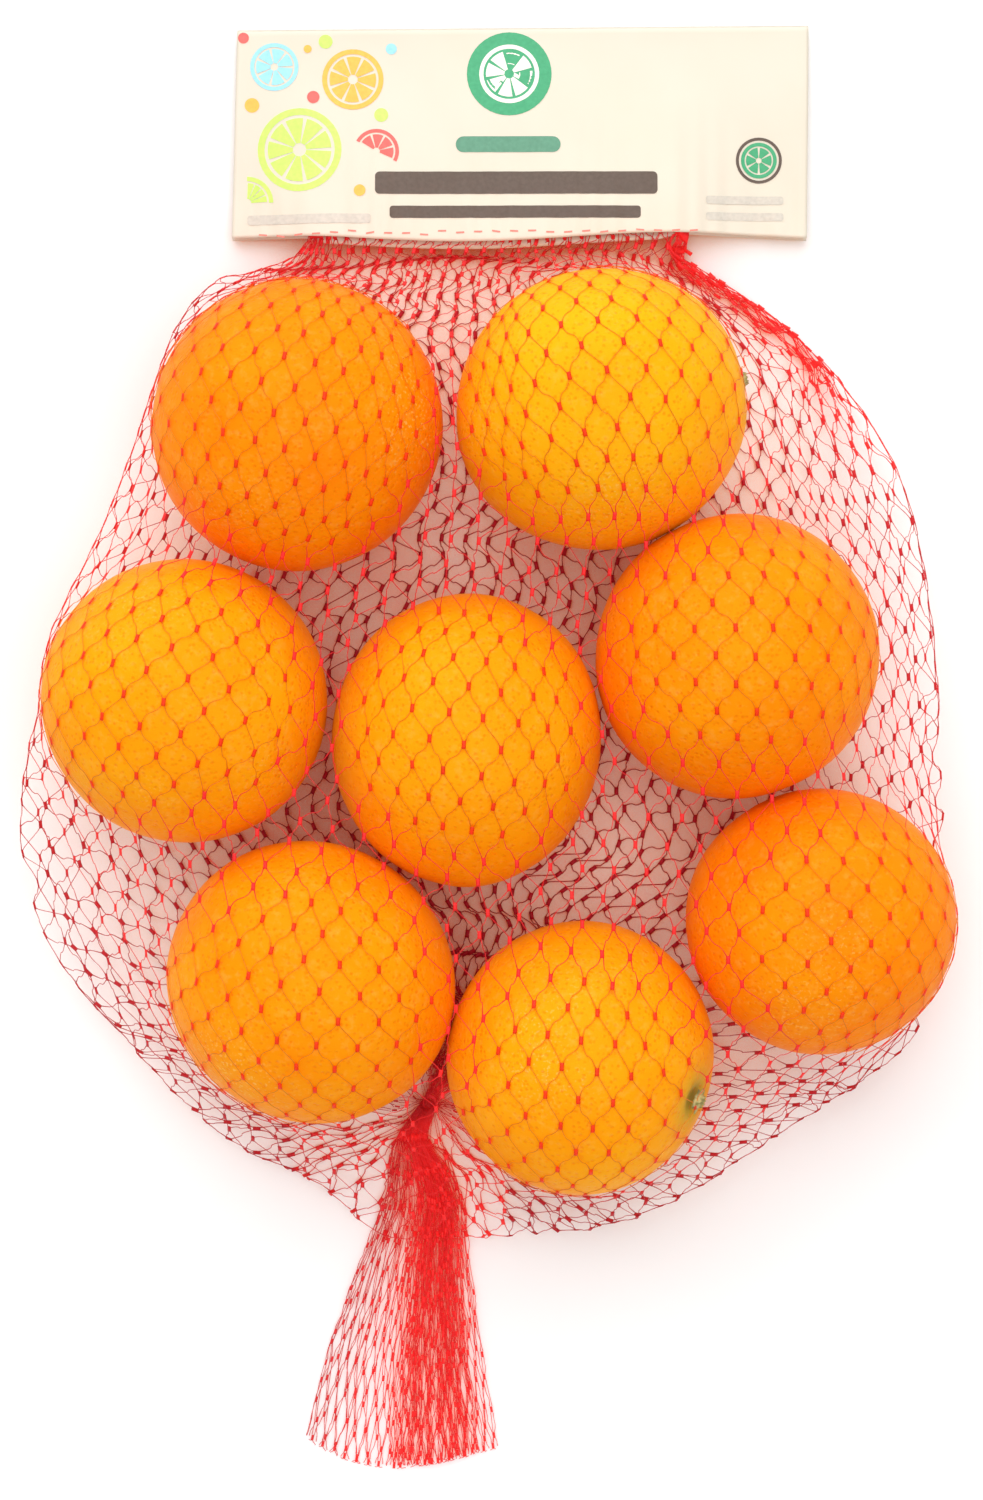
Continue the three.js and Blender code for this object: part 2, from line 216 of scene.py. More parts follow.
# Where on a bar strings end, how near the peel they count as lying on it, and how many points they have.
BAR_END, BAR_SIDE, NEAR_PEEL, CURVE_POINTS = 0.85, 0.55, 3.0, 7
# How strings bend: at random, along the netting's run, and in a hook; and how much longer than their span.
BEND, FOLLOW_PEEL, FOLLOW_SLACK, HOOK_PEEL, HOOK_SLACK = 0.09, 0.45, 0.3, -0.45, -0.2
LONG_TAIL, LONG_PEEL, LONG_SLACK, UNEVEN_FREE = 1.01, 1.035, 1.05, 0.03
STRAIGHTENS = 1.1
# How the reach of a curve's ends is found: its least share of the span, its most of the length, the tries.
REACH_LEAST, REACH_MOST, REACH_TRIES = 0.2, 1.1, 14
# How far joints stray near the knot, along x, y and z, and where that begins and ends.
TANGLE_STRAY, TANGLE_NEAR, TANGLE_FAR = (1.3, 1.3, 0.4), (1.0, 6.0), (12.0, 32.0)

# The photograph's camera: its height over the ground and what it takes in there, in metres.
CAMERA_HEIGHT = 1.2
CAMERA_X = 0.00195
PICTURE_HEIGHT = 0.4116
SENSOR = 36.0

# The stage: the floor with its painted warm shade and painted orange bounce light, by how shut in it lies by
# the fruit, the sky's strength, and the lamps with where they come from, how wide they spread in degrees, and
# their strength.
FLOOR_WIDE, FLOOR_BELOW, PAINTED_SHADE_REACH = 6.0, 0.0002, 0.055
FLOOR_PAINTED_SHADE = (
    (0.03, (0.74, 0.05, 0.012)), (0.13, (0.98, 0.32, 0.11)),
    (0.25, (1.0, 0.84, 0.66)), (0.45, (0.98, 0.92, 0.88)),
)
UNSHADED_FROM, PAINTED_SHADE_SAMPLES = 0.62, 8
SKY = 0.58
LAMPS = (("window_light", (-0.25, 1.15, 0.9), 70, 1.75), ("top_light", (0.12, -0.05, 1.0), 60, 1.0))

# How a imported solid's rows are read: the fewest points in a full row, what counts as one x, and the samples.
FEWEST_IN_ROW, SAME_X, TOP_SAMPLES = 30, 0.02, 41
# Reading between samples stays just inside the last one.
JUST_INSIDE = 1.001
# The grid round the bag, in whole millimetres, and where strings are kept inside the outline.
FIELD_HALF, FIELD_BELOW, FIELD_TOP = 136, 12, 161
FOOT_MARGIN, NECK_Y = 8.0, 136.0
# Where the label's pocket holds the netting, and how far inside its faces.
HELD_LEFT, HELD_RIGHT, HELD_BELOW = -60.0, 66.0, 1.5
BACK_GAP, FRONT_GAP = 0.3, 0.35


def shifted(points):
    """Plan millimetres to the frame's metres."""
    return (np.asarray(points) + np.array([PLAN_X, PLAN_Y, 0.0])) * MM


def read_solid(node):
    """The rows of a packed height-field solid: y of each row, its x edges, and its upper heights across."""
    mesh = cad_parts[node].data
    flat = np.empty(len(mesh.vertices) * 3)
    mesh.vertices.foreach_get("co", flat)
    points = flat.reshape(-1, 3) / MM - np.array([PLAN_X, PLAN_Y, 0.0])
    order = np.round(points[:, 1], 2)
    rows = []
    for y in np.unique(order):
        row = points[order == y]
        xs = np.unique(np.round(row[:, 0], 2))
        if len(xs) > FEWEST_IN_ROW:
            top = [row[np.abs(row[:, 0] - x) < SAME_X, 2].max() for x in xs]
            rows.append((y, xs[0], xs[-1], np.interp(np.linspace(xs[0], xs[-1], TOP_SAMPLES), xs, top)))
    ys, left, right, top = zip(*rows)
    return np.array(ys), np.array(left), np.array(right), np.array(top)


def smoothstep(value, low, high):
    """0 below low, 1 above high, and a smooth rise between."""
    t = np.clip((np.asarray(value, dtype=float) - low) / (high - low), 0, 1)
    return t * t * (3 - 2 * t)


def pocket_middle(x, y):
    """The height halfway between the label's two faces."""
    swell = smoothstep(x, *SWELL_LEFT) * (1 - smoothstep(x, *SWELL_RIGHT))
    held = POCKET_EDGE + POCKET_SWELL * swell + RIPPLE_HIGH * np.sin(2 * math.pi * x / RIPPLE_LONG)
    down = np.clip((LABEL_TOP - y) / (LABEL_TOP - HEAD_Y), 0, 1) ** POCKET_POWER
    return POCKET_FLAT + (held - POCKET_FLAT) * down


def label_height(y):
    """How far up the label a place is, from 0 at the lower edge to 1 at the fold."""
    return np.clip((y - LABEL_EDGE) / (LABEL_TOP - LABEL_EDGE), 0, 1)


def film_relief(x, y):
    """Small creases in the film, deepest along the edge that grips the netting."""
    low = (1 - label_height(y)) ** 2
    gathers = GRIP_HIGH * np.sin(x * GRIP_X + GRIP_SWAY * np.sin(x * GRIP_SWAY_X)) * low
    slow = SLOW_HIGH * np.sin(x * SLOW_X + 0.9) * np.sin(y * SLOW_Y + 0.4)
    slant = SLANT_HIGH * np.sin(SLANT_X * x + SLANT_Y * y + SLANT_SWAY * np.sin(SLANT_SWAY_X * x))
    return gathers + slow + slant * (SLANT_ABOVE + (1 - SLANT_ABOVE) * low)


def face_opening(y):
    """How far each face of the label stands off the pocket's middle."""
    return FACE_SHUT + FACE_OPENS * smoothstep(1 - label_height(y), 0, FACE_OPEN_BY)


def film_front(x, y):
    """The height of the middle of the film on the label's front face."""
    return pocket_middle(x, y) + face_opening(y) + film_relief(x, y) + FACE_PROUD


def film_back(x, y):
    """The same on the back face, which lies flatter."""
    return pocket_middle(x, y) - face_opening(y) + BACK_CREASED * film_relief(x, y)


class Bag:
    """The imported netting's outline and upper surface, for the strings to lie in."""

    def __init__(self):
        self.ys, self.lefts, self.rights, self.tops = read_solid("net_bag")
        self.grid_left, self.grid_low, self.near, self.out = self.edge_field()

    def left(self, y):
        """The outline's left edge at a height in plan."""
        return np.interp(y, self.ys, self.lefts)

    def right(self, y):
        """The outline's right edge at a height in plan."""
        return np.interp(y, self.ys, self.rights)

    def across(self, y, share):
        """The place a share of the way from the left edge to the right one."""
        return self.left(y) + share * (self.right(y) - self.left(y))

    def top(self, x, y):
        """The height of the solid's upper surface at a place, between its four nearest samples."""
        row = min(float(np.interp(y, self.ys, np.arange(len(self.ys)))), len(self.ys) - JUST_INSIDE)
        wide = self.tops.shape[1] - JUST_INSIDE
        column = float(np.clip((x - self.left(y)) / (self.right(y) - self.left(y)), 0, 1)) * wide
        r, c = int(row), int(column)
        f, g = row - r, column - c
        lower = (1 - g) * self.tops[r, c] + g * self.tops[r, c + 1]
        upper = (1 - g) * self.tops[r + 1, c] + g * self.tops[r + 1, c + 1]
        return (1 - f) * lower + f * upper

    def outline(self):
        """The bag's outline without its tail, as a closed line."""
        bag = self.ys >= FOOT_Y
        left = np.stack([self.lefts[bag], self.ys[bag]], 1)
        right = np.stack([self.rights[bag], self.ys[bag]], 1)[::-1]
        return np.concatenate([left, right, left[:1]])

    def outside(self, x, y):
        """Whether places are outside the outline or below the foot."""
        return (x < self.left(y)) | (x > self.right(y)) | (y < FOOT_Y)

    def nearest(self, points):
        """The outline's nearest place to each point, and whether the point is outside, to the millimetre."""
        gx = np.clip(np.rint(points[..., 0] - self.grid_left).astype(int), 0, self.near.shape[1] - 1)
        gy = np.clip(np.rint(points[..., 1] - self.grid_low).astype(int), 0, self.near.shape[0] - 1)
        return self.near[gy, gx], self.out[gy, gx]

    def keep_in(self, points):
        """String stays on or above the ground, in the label's pocket, and inside the bag's outline."""
        x, y = points[:, 0], points[:, 1]
        near, _ = self.nearest(points)
        out = self.outside(x, y) & (y > FOOT_Y - FOOT_MARGIN) & (y < NECK_Y)
        root = (y < ROOT_TOP) & (x > ROOT_LEFT) & (x < ROOT_RIGHT)
        out &= ~root
        points[out, :2] = near[out]
        points[:, 2] = np.maximum(points[:, 2], STRING_LOWEST)
        return in_pocket(points)

    def edge_field(self):
        """A 1 mm grid: its left and low ends, the outline's nearest place, and whether a place is outside."""
        line = self.outline()
        start, run = line[:-1], np.diff(line, axis=0)
        xs, ys = np.arange(-FIELD_HALF, FIELD_HALF + 1), np.arange(int(FOOT_Y) - FIELD_BELOW, FIELD_TOP)
        gx, gy = np.meshgrid(xs, ys)
        q = np.stack([gx.ravel(), gy.ravel()], 1).astype(float)
        share = ((q[:, None] - start) * run).sum(2) / np.maximum((run * run).sum(1), 1e-9)
        foot = start + np.clip(share, 0, 1)[..., None] * run
        best = np.linalg.norm(q[:, None] - foot, axis=2).argmin(1)
        near = foot[np.arange(len(q)), best].reshape(gx.shape + (2,))
        return xs[0], ys[0], near, self.outside(q[:, 0], q[:, 1]).reshape(gx.shape)


def in_pocket(points):
    """Netting inside the label stays between its two faces."""
    x, y, z = points.T
    held = (y > LABEL_EDGE - HELD_BELOW) & (x > HELD_LEFT) & (x < HELD_RIGHT)
    points[:, 2] = np.where(held, np.clip(z, film_back(x, y) + BACK_GAP, film_front(x, y) - FRONT_GAP), z)
    return points


def label_place(share):
    """Where a column of the netting leaves the label, from 0 at the left fold to 1 at the right one."""
    spread = np.clip((share - EVEN_FROM) / EVEN_SPAN, 0, 1)
    gathered_left = GATHER_LEFT * min(share / EVEN_FROM, 1)
    gathered_right = GATHER_RIGHT * max(0, (share - EVEN_TO) / GATHERED_SPAN)
    return GATHER_X + gathered_left + GATHER_EVEN * spread + gathered_right


def rope_depth(u):
    """How deep inside the right edge a column lies where the netting is rolled into a rope, or nothing."""
    away = abs(u - 0.5) / ROPE_SHARE
    return ROPE_EDGE + ROPE_DEEP * away if away < 1 else None


def column_path(bag, u):
    """One lengthwise line of the netting, from the label's pocket over or under the fruit to the knot."""
    front = u <= 0.5
    share = 2 * u if front else 2 * (1 - u)
    x0 = label_place(share)
    inside = FRONT_INSIDE if front else BACK_INSIDE
    start = POCKET_Y - POCKET_LEAN * share
    path = [(x0, y, float(pocket_middle(x0, y)) + inside) for y in (start, (start + HEAD_Y) / 2, HEAD_Y)]
    depth = rope_depth(u)
    neck = NECK_LONG + NECK_MORE * float(smoothstep(min(share, 1 - share), *NECK_WIDENS))
    y = HEAD_Y - HEAD_STEP
    while y > TURN_Y:
        fan = float(np.clip((HEAD_Y - y) / neck, 0, 1)) ** FAN_POWER
        x = x0 + (bag.across(y, share) - x0) * fan
        z = bag.top(x, y) if front else BACK_LIES
        if depth is not None:
            rope = float(smoothstep(y, ROPE_ENDS, ROPE_HOLDS))
            x = x + (bag.right(y) - depth - x) * rope
            z = z + (ROPE_LOW + ROPE_RISES * depth - z) * rope
        path.append((float(np.clip(x, bag.left(y), bag.right(y))), y, z))
        y -= PATH_STEP
    x = bag.across(TURN_Y, share)
    if front:
        while y > FOOT_Y and bag.left(y) - HEM_REACH <= x <= bag.right(y) + HEM_REACH:
            path.append((x, y, bag.top(x, y)))
            y -= PATH_STEP
        path.append((x, y + PATH_STEP / 2, HEM_LIES))
    else:
        path.append((x, TURN_Y, BACK_LIES))
        path.append((BUNDLE[0] + BUNDLE_WIDE * (share - 0.5), BUNDLE[1], BUNDLE[2]))
    path.append(knot_place(u))
    return np.array(path)


def knot_place(u):
    """Where a column enters the knot: those from the front come up from below it in plan."""
    angle = math.pi + 2 * math.pi * u
    return (KNOT[0] + KNOT_RADIUS * math.cos(angle), KNOT[1] + KNOT_RADIUS * math.sin(angle), KNOT[2])


def along(path, count, tilt):
    """Evenly spaced places along a path, drawn towards its end or start by tilt."""
    run = np.concatenate([[0], np.cumsum(np.linalg.norm(np.diff(path, axis=0), axis=1))])
    want = np.linspace(0, run[-1], count)
    want = want + tilt * run[-1] * np.sin(math.pi * want / run[-1])
    return np.stack([np.interp(want, run, path[:, k]) for k in range(3)], 1)


def first_lay(bag, across, rows, tilt):
    """The joints of the netting before it settles, as rows by columns by xyz."""
    joints = np.zeros((rows + 1, across, 3))
    for odd in (0, 1):
        for i in range(across):
            u = (i + 0.5 * odd) / across
            share = 2 * u if u <= 0.5 else 2 * (1 - u)
            joints[odd::2, i] = along(column_path(bag, u), rows + 1, tilt * (2 * share - 1))[odd::2]
    return joints


def pull_together(a, b, free_a, free_b, longest, shortest, soft):
    """Draws string ends together where they are further apart than the string is long."""
    gap = b - a
    length = np.linalg.norm(gap, axis=-1, keepdims=True) + 1e-9
    over = np.maximum(length - longest, 0) - soft * np.maximum(shortest - length, 0)
    move = gap / length * over / (free_a + free_b + 1e-9)
    return a + free_a * move, b - free_b * move


def lower_neighbours(rows_below, odd, rightward):
    """For each joint, the one below it to the right or left: odd rows sit half a column further on."""
    if odd:
        return np.roll(rows_below, -1, axis=1) if rightward else rows_below
    return rows_below if rightward else np.roll(rows_below, 1, axis=1)


def put_back(moved, odd, rightward):
    """The lower neighbours back in their own columns."""
    if odd:
        return np.roll(moved, 1, axis=1) if rightward else moved
    return moved if rightward else np.roll(moved, -1, axis=1)


def pull_strings(joints, free, rest, shortest):
    """Brings every string to its length, first those below even rows, then those below odd ones."""
    for odd in (0, 1):
        for rightward in (True, False):
            upper, lower = slice(odd, -1, 2), slice(odd + 1, None, 2)
            count = len(joints[lower])
            a = joints[upper][:count]
            b = lower_neighbours(joints[lower], odd, rightward)
            free_b = lower_neighbours(free[lower], odd, rightward)
            length = rest[int(rightward), upper][:count]
            a, b = pull_together(a, b, free[upper][:count], free_b, length, shortest, SHORT_STIFF)
            joints[upper][:count] = a
            joints[lower] = put_back(b, odd, rightward)


def keep_open(joints, free, wide, high, stiff):
    """The netting's own stiffness, which holds its meshes open."""
    gap = np.roll(joints, -1, axis=1) - joints
    length = np.linalg.norm(gap, axis=-1, keepdims=True) + 1e-9
    move = gap / length * np.maximum(wide - length, 0) * stiff * free
    joints -= move
    joints += np.roll(move, 1, axis=1)
    gap = joints[2:] - joints[:-2]
    length = np.linalg.norm(gap, axis=-1, keepdims=True) + 1e-9
    move = gap / length * np.maximum(high - length, 0) * stiff * 0.5
    joints[:-2] -= move * free[:-2]
    joints[2:] += move * free[2:]


def from_fruit(points, margin):
    """For each orange with a margin round it: its middle, its half height, and how far points are from it.

    The distance is a share of the orange's own radius in that direction. The points' steps from its middle
    come before it.
    """
    for x, y, long, short, turn in FRUIT:
        half = (long + short) / 2
        middle = np.array([x, y, half + FRUIT_LIFT])
        long, short, half = long + margin, short + margin, half + margin
        q = points - middle
        c, s = math.cos(math.radians(turn)), math.sin(math.radians(turn))
        a = q[:, 0] * c + q[:, 1] * s
        b = q[:, 1] * c - q[:, 0] * s
        yield middle, half, q, np.sqrt((a / long) ** 2 + (b / short) ** 2 + (q[:, 2] / half) ** 2)


def out_of_fruit(points, margin):
    """Moves points that are inside an orange out to its peel."""
    for middle, _, step, share in from_fruit(points, margin):
        inside = share < 1
        points[inside] = middle + step[inside] / np.maximum(share[inside], DEEPEST)[:, None]
    return points


def peel_distance(points):
    """Roughly how far each point is from the nearest peel, in millimetres."""
    nearest = np.full(len(points), FAR)
    for _, half, _, share in from_fruit(points, 0.0):
        nearest = np.minimum(nearest, (share - 1) * half)
    return nearest


def column_share(across, rows):
    """u of every joint, as rows by columns."""
    odd = np.arange(rows + 1)[:, None] % 2
    return (np.arange(across)[None] + 0.5 * odd) / across


def held_joints(joints, u):
    """The joints that stay put as they are laid: in the label, in the rope, in the bundle and at the knot."""
    rope = (np.abs(u - 0.5) < ROPE_SHARE) & (joints[..., 1] > ROPE_HOLDS)
    bundled = (np.linalg.norm(joints - np.array(BUNDLE), axis=-1) < BUNDLE_HELD) & (u > 0.5)
    held = rope | bundled
    held[:LABEL_ROWS] = True
    held[-1] = True
    return held, rope


def hem_joints(bag, joints, u, across):
    """The joints drawn out to the outline: the side columns, and what lies near the edge of the foot."""
    near, _ = bag.nearest(joints)
    away = np.linalg.norm(near - joints[..., :2], axis=-1)
    from_side = np.minimum(np.abs(u - 0.5), np.minimum(u, 1 - u)) * across
    at_side = (from_side < HEM_COLUMNS) & (joints[..., 1] > TURN_Y) & (joints[..., 1] < HEM_TOP)
    at_foot = (away < HEM_WIDE) & (joints[..., 1] <= TURN_Y) & (joints[..., 2] < HEM_HIGH)
    return at_side | at_foot


def settle(bag, sizes):
    """Lets the netting find its place: taut over the fruit, slack on the ground, out to its outline."""
    across, rows = sizes.columns, sizes.rows
    draw = np.random.default_rng(SEED)
    joints = first_lay(bag, across, rows, sizes.tilt)
    u = column_share(across, rows)
    held, rope = held_joints(joints, u)
    free = np.where(held, 0.0, 1.0)[..., None]
    stray = draw.normal(0, 1, joints.shape) * np.array(ROPE_STRAY)
    joints += stray * rope[..., None] * (joints[..., 1:2] < ROPE_EVEN_FROM)
    open_wide = np.linalg.norm(np.roll(joints, -1, axis=1) - joints, axis=-1, keepdims=True)
    open_wide = np.clip(OPEN_SHARE * open_wide, 0, OPEN_MOST)
    joints += draw.normal(0, FIRST_STRAY, joints.shape) * np.array(STRAY_SHARE) * free
    front = (u < 0.5) & (np.arange(rows + 1)[:, None] < rows - FOOT_ROWS)
    lowest = np.where(front, FRONT_LOWEST, BACK_LOWEST).ravel()
    rest = sizes.strand * (1 + draw.normal(0, UNEVEN_STRINGS, (2,) + joints.shape[:2]))[..., None]
    rest[0] *= sizes.slack
    hem = hem_joints(bag, joints, u, across).reshape(-1, 1)
    loose = free.reshape(-1, 1)
    fixed = loose[:, 0] == 0
    for sweep in range(sizes.sweeps):
        joints[..., 2] -= SINK * free[..., 0]
        pull_strings(joints, free, rest, sizes.shortest)
        keep_open(joints, free, open_wide, MESH_HIGH, MESH_STIFF)
        flat = joints.reshape(-1, 3)
        near, out = bag.nearest(flat)
        flat[:, :2] += np.where(out[:, None], 1.0, HEM_DRAWN * hem) * (near - flat[:, :2]) * loose
        if sweep % SLACK_EVERY == 0:
            slack = (peel_distance(flat) > SLACK_CLEAR).reshape(free.shape)
        smooth_slack(joints, free, slack, SLACK_EVENS)
        before = flat.copy()
        out_of_fruit(flat, JOINT_CLEAR)
        flat[fixed] = before[fixed]
        flat[:, 2] = np.maximum(flat[:, 2], lowest)
        joints = flat.reshape(joints.shape)
    return joints


def smooth_slack(joints, free, where, share):
    """Loose netting evens itself out."""
    level = 0.5 * (joints[:-2] + joints[2:])
    side = 0.5 * (np.roll(joints, 1, axis=1) + np.roll(joints, -1, axis=1))[1:-1]
    joints[1:-1] += (0.5 * (level + side) - joints[1:-1]) * share * free[1:-1] * where[1:-1]


def tail_joints(knot_row, across, rows, draw):
    """The gathered tail below the knot, folded lengthwise and fanned out flat, as rows by columns by xyz."""
    number = np.arange(1, rows + 2)[:, None]
    u = (np.arange(across)[None] + 0.5 * ((knot_row + number) % 2)) / across
    number = np.minimum(number, rows + TAIL_STUB)
    round_share, across_share, height = (np.array(part) for part in zip(*TAIL_FOLDS))
    place = np.interp(u, round_share, across_share)
    cut = TAIL_END_Y - TAIL_DIP * np.sin(math.pi * place**TAIL_BOW) - TAIL_LEAN * place
    first = TAIL_EDGES[-1][0]
    y = first + (cut - first) * ((number - TAIL_START) / (rows + TAIL_STUB - TAIL_START)) ** TAIL_SPREAD
    uneven = sum(high * np.sin(2 * math.pi * count * u + start) for high, count, start in TAIL_WAVES)
    uneven = (uneven + draw.normal(0, TAIL_UNEVEN, u.shape)) * smoothstep(number, 0, 4) * (number <= rows)
    y = np.maximum(y + uneven, cut + TAIL_ABOVE_CUT * (number <= rows))
    ys, lefts, rights = (np.array(part) for part in zip(*TAIL_EDGES))
    level = TAIL_END_Y + (y - cut) * (first - TAIL_END_Y) / (first - cut)
    left, right = np.interp(level, ys, lefts), np.interp(level, ys, rights)
    x = left + (right - left) * place
    z = np.interp(u, round_share, height) * (1 + TAIL_ROOT_RISES * (1 - np.minimum(number / rows, 1)) ** 2)
    joints = np.stack([x, y, z], -1)
    inner = np.clip(6 * place * (1 - place), 0, 1)[..., None]
    return joints + draw.normal(0, 1, joints.shape) * np.array(TAIL_STRAY) * inner


def unit(v):
    """The same directions with length 1."""
    return v / (np.linalg.norm(v, axis=-1, keepdims=True) + 1e-12)


def joint_frames(joints):
    """For every joint: along the tube, across it, and out of the netting."""
    rows = len(joints)
    ahead = np.zeros_like(joints)
    for j in range(rows):
        odd = j % 2
        total = np.zeros_like(joints[j])
        if j + 1 < rows:
            below = joints[j + 1]
            other = np.roll(below, -1, axis=0) if odd else np.roll(below, 1, axis=0)
            total += (below + other) / 2 - joints[j]
        if j > 0:
            above = joints[j - 1]
            other = np.roll(above, -1, axis=0) if odd else np.roll(above, 1, axis=0)
            total += joints[j] - (above + other) / 2
        ahead[j] = total
    ahead = unit(ahead)
    across = np.roll(joints, -1, axis=1) - np.roll(joints, 1, axis=1)
    across = unit(across - ahead * (across * ahead).sum(-1, keepdims=True))
    return ahead, across, unit(np.cross(across, ahead))


def string_ends(joints, frames, long, wide):
    """Start and end of every string with their directions, from each joint to the two below it."""
    ahead, across, out = frames
    rows = len(joints)
    sets = []
    for j in range(rows - 1):
        odd = j % 2
        for rightward in (True, False):
            shift = (-1 if rightward else 0) if odd else (0 if rightward else 1)
            sign = 1.0 if rightward else -1.0
            low = np.roll(joints[j + 1], shift, axis=0)
            low_ahead = np.roll(ahead[j + 1], shift, axis=0)
            low_across = np.roll(across[j + 1], shift, axis=0)
            start = joints[j] + ahead[j] * long + across[j] * wide * sign
            end = low - low_ahead * long - low_across * wide * sign
            number = np.full(len(low), j)
            column = np.arange(len(low))
            sets.append((start, end, ahead[j], low_ahead, out[j], number, column, np.full(len(low), sign)))
    return [np.concatenate(part) for part in zip(*sets)]


def bezier(start, end, first, last, reach, t):
    """Points at t on curves that leave start along first and reach end along last."""
    p1 = start + first * reach
    p2 = end - last * reach
    t = t[None, :, None]
    s = 1 - t
    near_start = s**3 * start[:, None] + 3 * s * s * t * p1[:, None]
    return near_start + 3 * s * t * t * p2[:, None] + t**3 * end[:, None]


def string_curves(start, end, first, last, length, steps):
    """Curves of the given length between their ends, bowed by as much as they are slack."""
    t = np.linspace(0, 1, steps)
    chord = np.linalg.norm(end - start, axis=1, keepdims=True)
    low, high = REACH_LEAST * chord, REACH_MOST * length
    for _ in range(REACH_TRIES):
        reach = (low + high) / 2
        curve = bezier(start, end, first, last, reach, t)
        run = np.linalg.norm(np.diff(curve, axis=1), axis=2).sum(1)[:, None]
        longer = run > length
        high = np.where(longer, reach, high)
        low = np.where(longer, low, reach)
    return bezier(start, end, first, last, reach, t)


def gathered_size(points, in_tail, at_knot, tail):
    """Strings and joints draw out thinner where the netting is gathered: full size is 1."""
    away = np.linalg.norm(points - np.array(KNOT), axis=-1, keepdims=True)
    return np.where(in_tail, tail, at_knot + (1 - at_knot) * smoothstep(away, *THIN_NEAR))


def prism_faces(count, steps, sides, caps):
    """The faces of many equal prisms, ring by ring, and then of their ends."""
    first = (np.arange(count) * steps * sides)[:, None]
    low = first[..., None] + (np.arange(steps - 1) * sides)[None, :, None]
    corner = np.arange(sides)
    turn = (corner + 1) % sides
    ring = [low + corner, low + turn, low + sides + turn, low + sides + corner]
    faces = [np.stack(ring, -1).reshape(-1, 4)]
    for cap in caps:
        faces.append(first + np.array([cap]))
        faces.append(first + (steps - 1) * sides + np.array([cap[::-1]]))
    return np.concatenate(faces)


def tubes(curves, out, radius):
    """Four-sided strings round curves, thicker at their ends, as vertices and faces."""
    count, steps = curves.shape[:2]
    run = unit(np.gradient(curves, axis=1))
    side = unit(np.cross(run, out[:, None]))
    lift = unit(np.cross(side, run))
    share = np.abs(np.linspace(-1, 1, steps))[None, :, None]
    thick = radius * (1 + (STRING_ENDS - 1) * share**6)
    side, lift = side * thick, lift * thick
    rings = np.stack([curves + side, curves + lift, curves - side, curves - lift], 2)
    return rings.reshape(-1, 3), prism_faces(count, steps, 4, ((3, 2, 1, 0),))


def joint_bars(joints, frames, long, wide, thick):
    """The flat welded bar at every joint: six-sided, waisted in the middle, as vertices and faces."""
    ahead, across, out = (f.reshape(-1, 3) for f in frames)
    middle = joints.reshape(-1, 3)
    around = np.radians(np.arange(0, 360, 60))
    rings = []
    for along_share, wide_share in BAR_RINGS:
        centre = middle + ahead * long * along_share
        sideways = across[:, None] * (wide * wide_share * np.cos(around))[..., None]
        rings.append(centre[:, None] + sideways + out[:, None] * (thick * np.sin(around))[..., None])
    rings = np.stack(rings, 1)
    return rings.reshape(-1, 3), prism_faces(*rings.shape[:3], ((3, 2, 1, 0), (5, 4, 3, 0)))


def net_light_and_shade(points, dark, light, on_peel):
    """The colour at each point: painted shade where netting lies low, painted light where it hangs free,
    warmer with the peel's painted glow on peel.
    """
    x, y, z = points.T
    high = LIT_HIGH * smoothstep(z, *LIT_RISES)
    in_tail = smoothstep(-y, *LIT_TAIL) * (x > LIT_TAIL_LEFT) * (x < LIT_TAIL_RIGHT)
    from_left = x - TAIL_SLANT * (y + TAIL_SLANT_FROM)
    in_tail = in_tail * (OPEN_SIDE + (1 - OPEN_SIDE) * smoothstep(from_left, *OPEN_SIDE_ENDS))
    at_label = LIT_LABEL * smoothstep(y, *LIT_LABEL_RISES)
    roped = smoothstep(x, *LIT_ROPE_X) * smoothstep(y, *LIT_ROPE_Y)
    roped = roped * smoothstep(x + ROPE_SLANT * y, *LIT_ROPE)
    at_knot = np.exp(-np.hypot(x - LIT_KNOT[0], y - LIT_KNOT[1]) / LIT_KNOT_WIDE)
    lit = np.clip(high + (at_label + in_tail) + roped + at_knot, 0, 1)[:, None]
    # Painted peel glow: netting near the peel takes the peel's colour.
    on = (1 - smoothstep(peel_distance(points), *PEEL_GLOW_NEAR))[:, None]
    # Painted light and shade: lit netting takes the light colour, the rest the shaded one.
    free = np.array(dark) + (np.array(light) - np.array(dark)) * lit
    return free + (np.array(on_peel) - free) * on


def joined(parts):
    """The points and faces of many parts as one: each part starts with its points and its faces."""
    starts = np.cumsum([0] + [len(part[0]) for part in parts])
    faces = [part[1] + start for part, start in zip(parts, starts)]
    return np.concatenate([part[0] for part in parts]), np.concatenate(faces)


def keep_values(mesh, name, values):
    """Keeps a number or a colour for every point of a mesh, for its material to read."""
    kind, key = ("FLOAT_COLOR", "color") if values.ndim > 1 else ("FLOAT", "value")
    layer = mesh.attributes.new(name, kind, "POINT")
    layer.data.foreach_set(key, values.astype(np.float32).ravel())


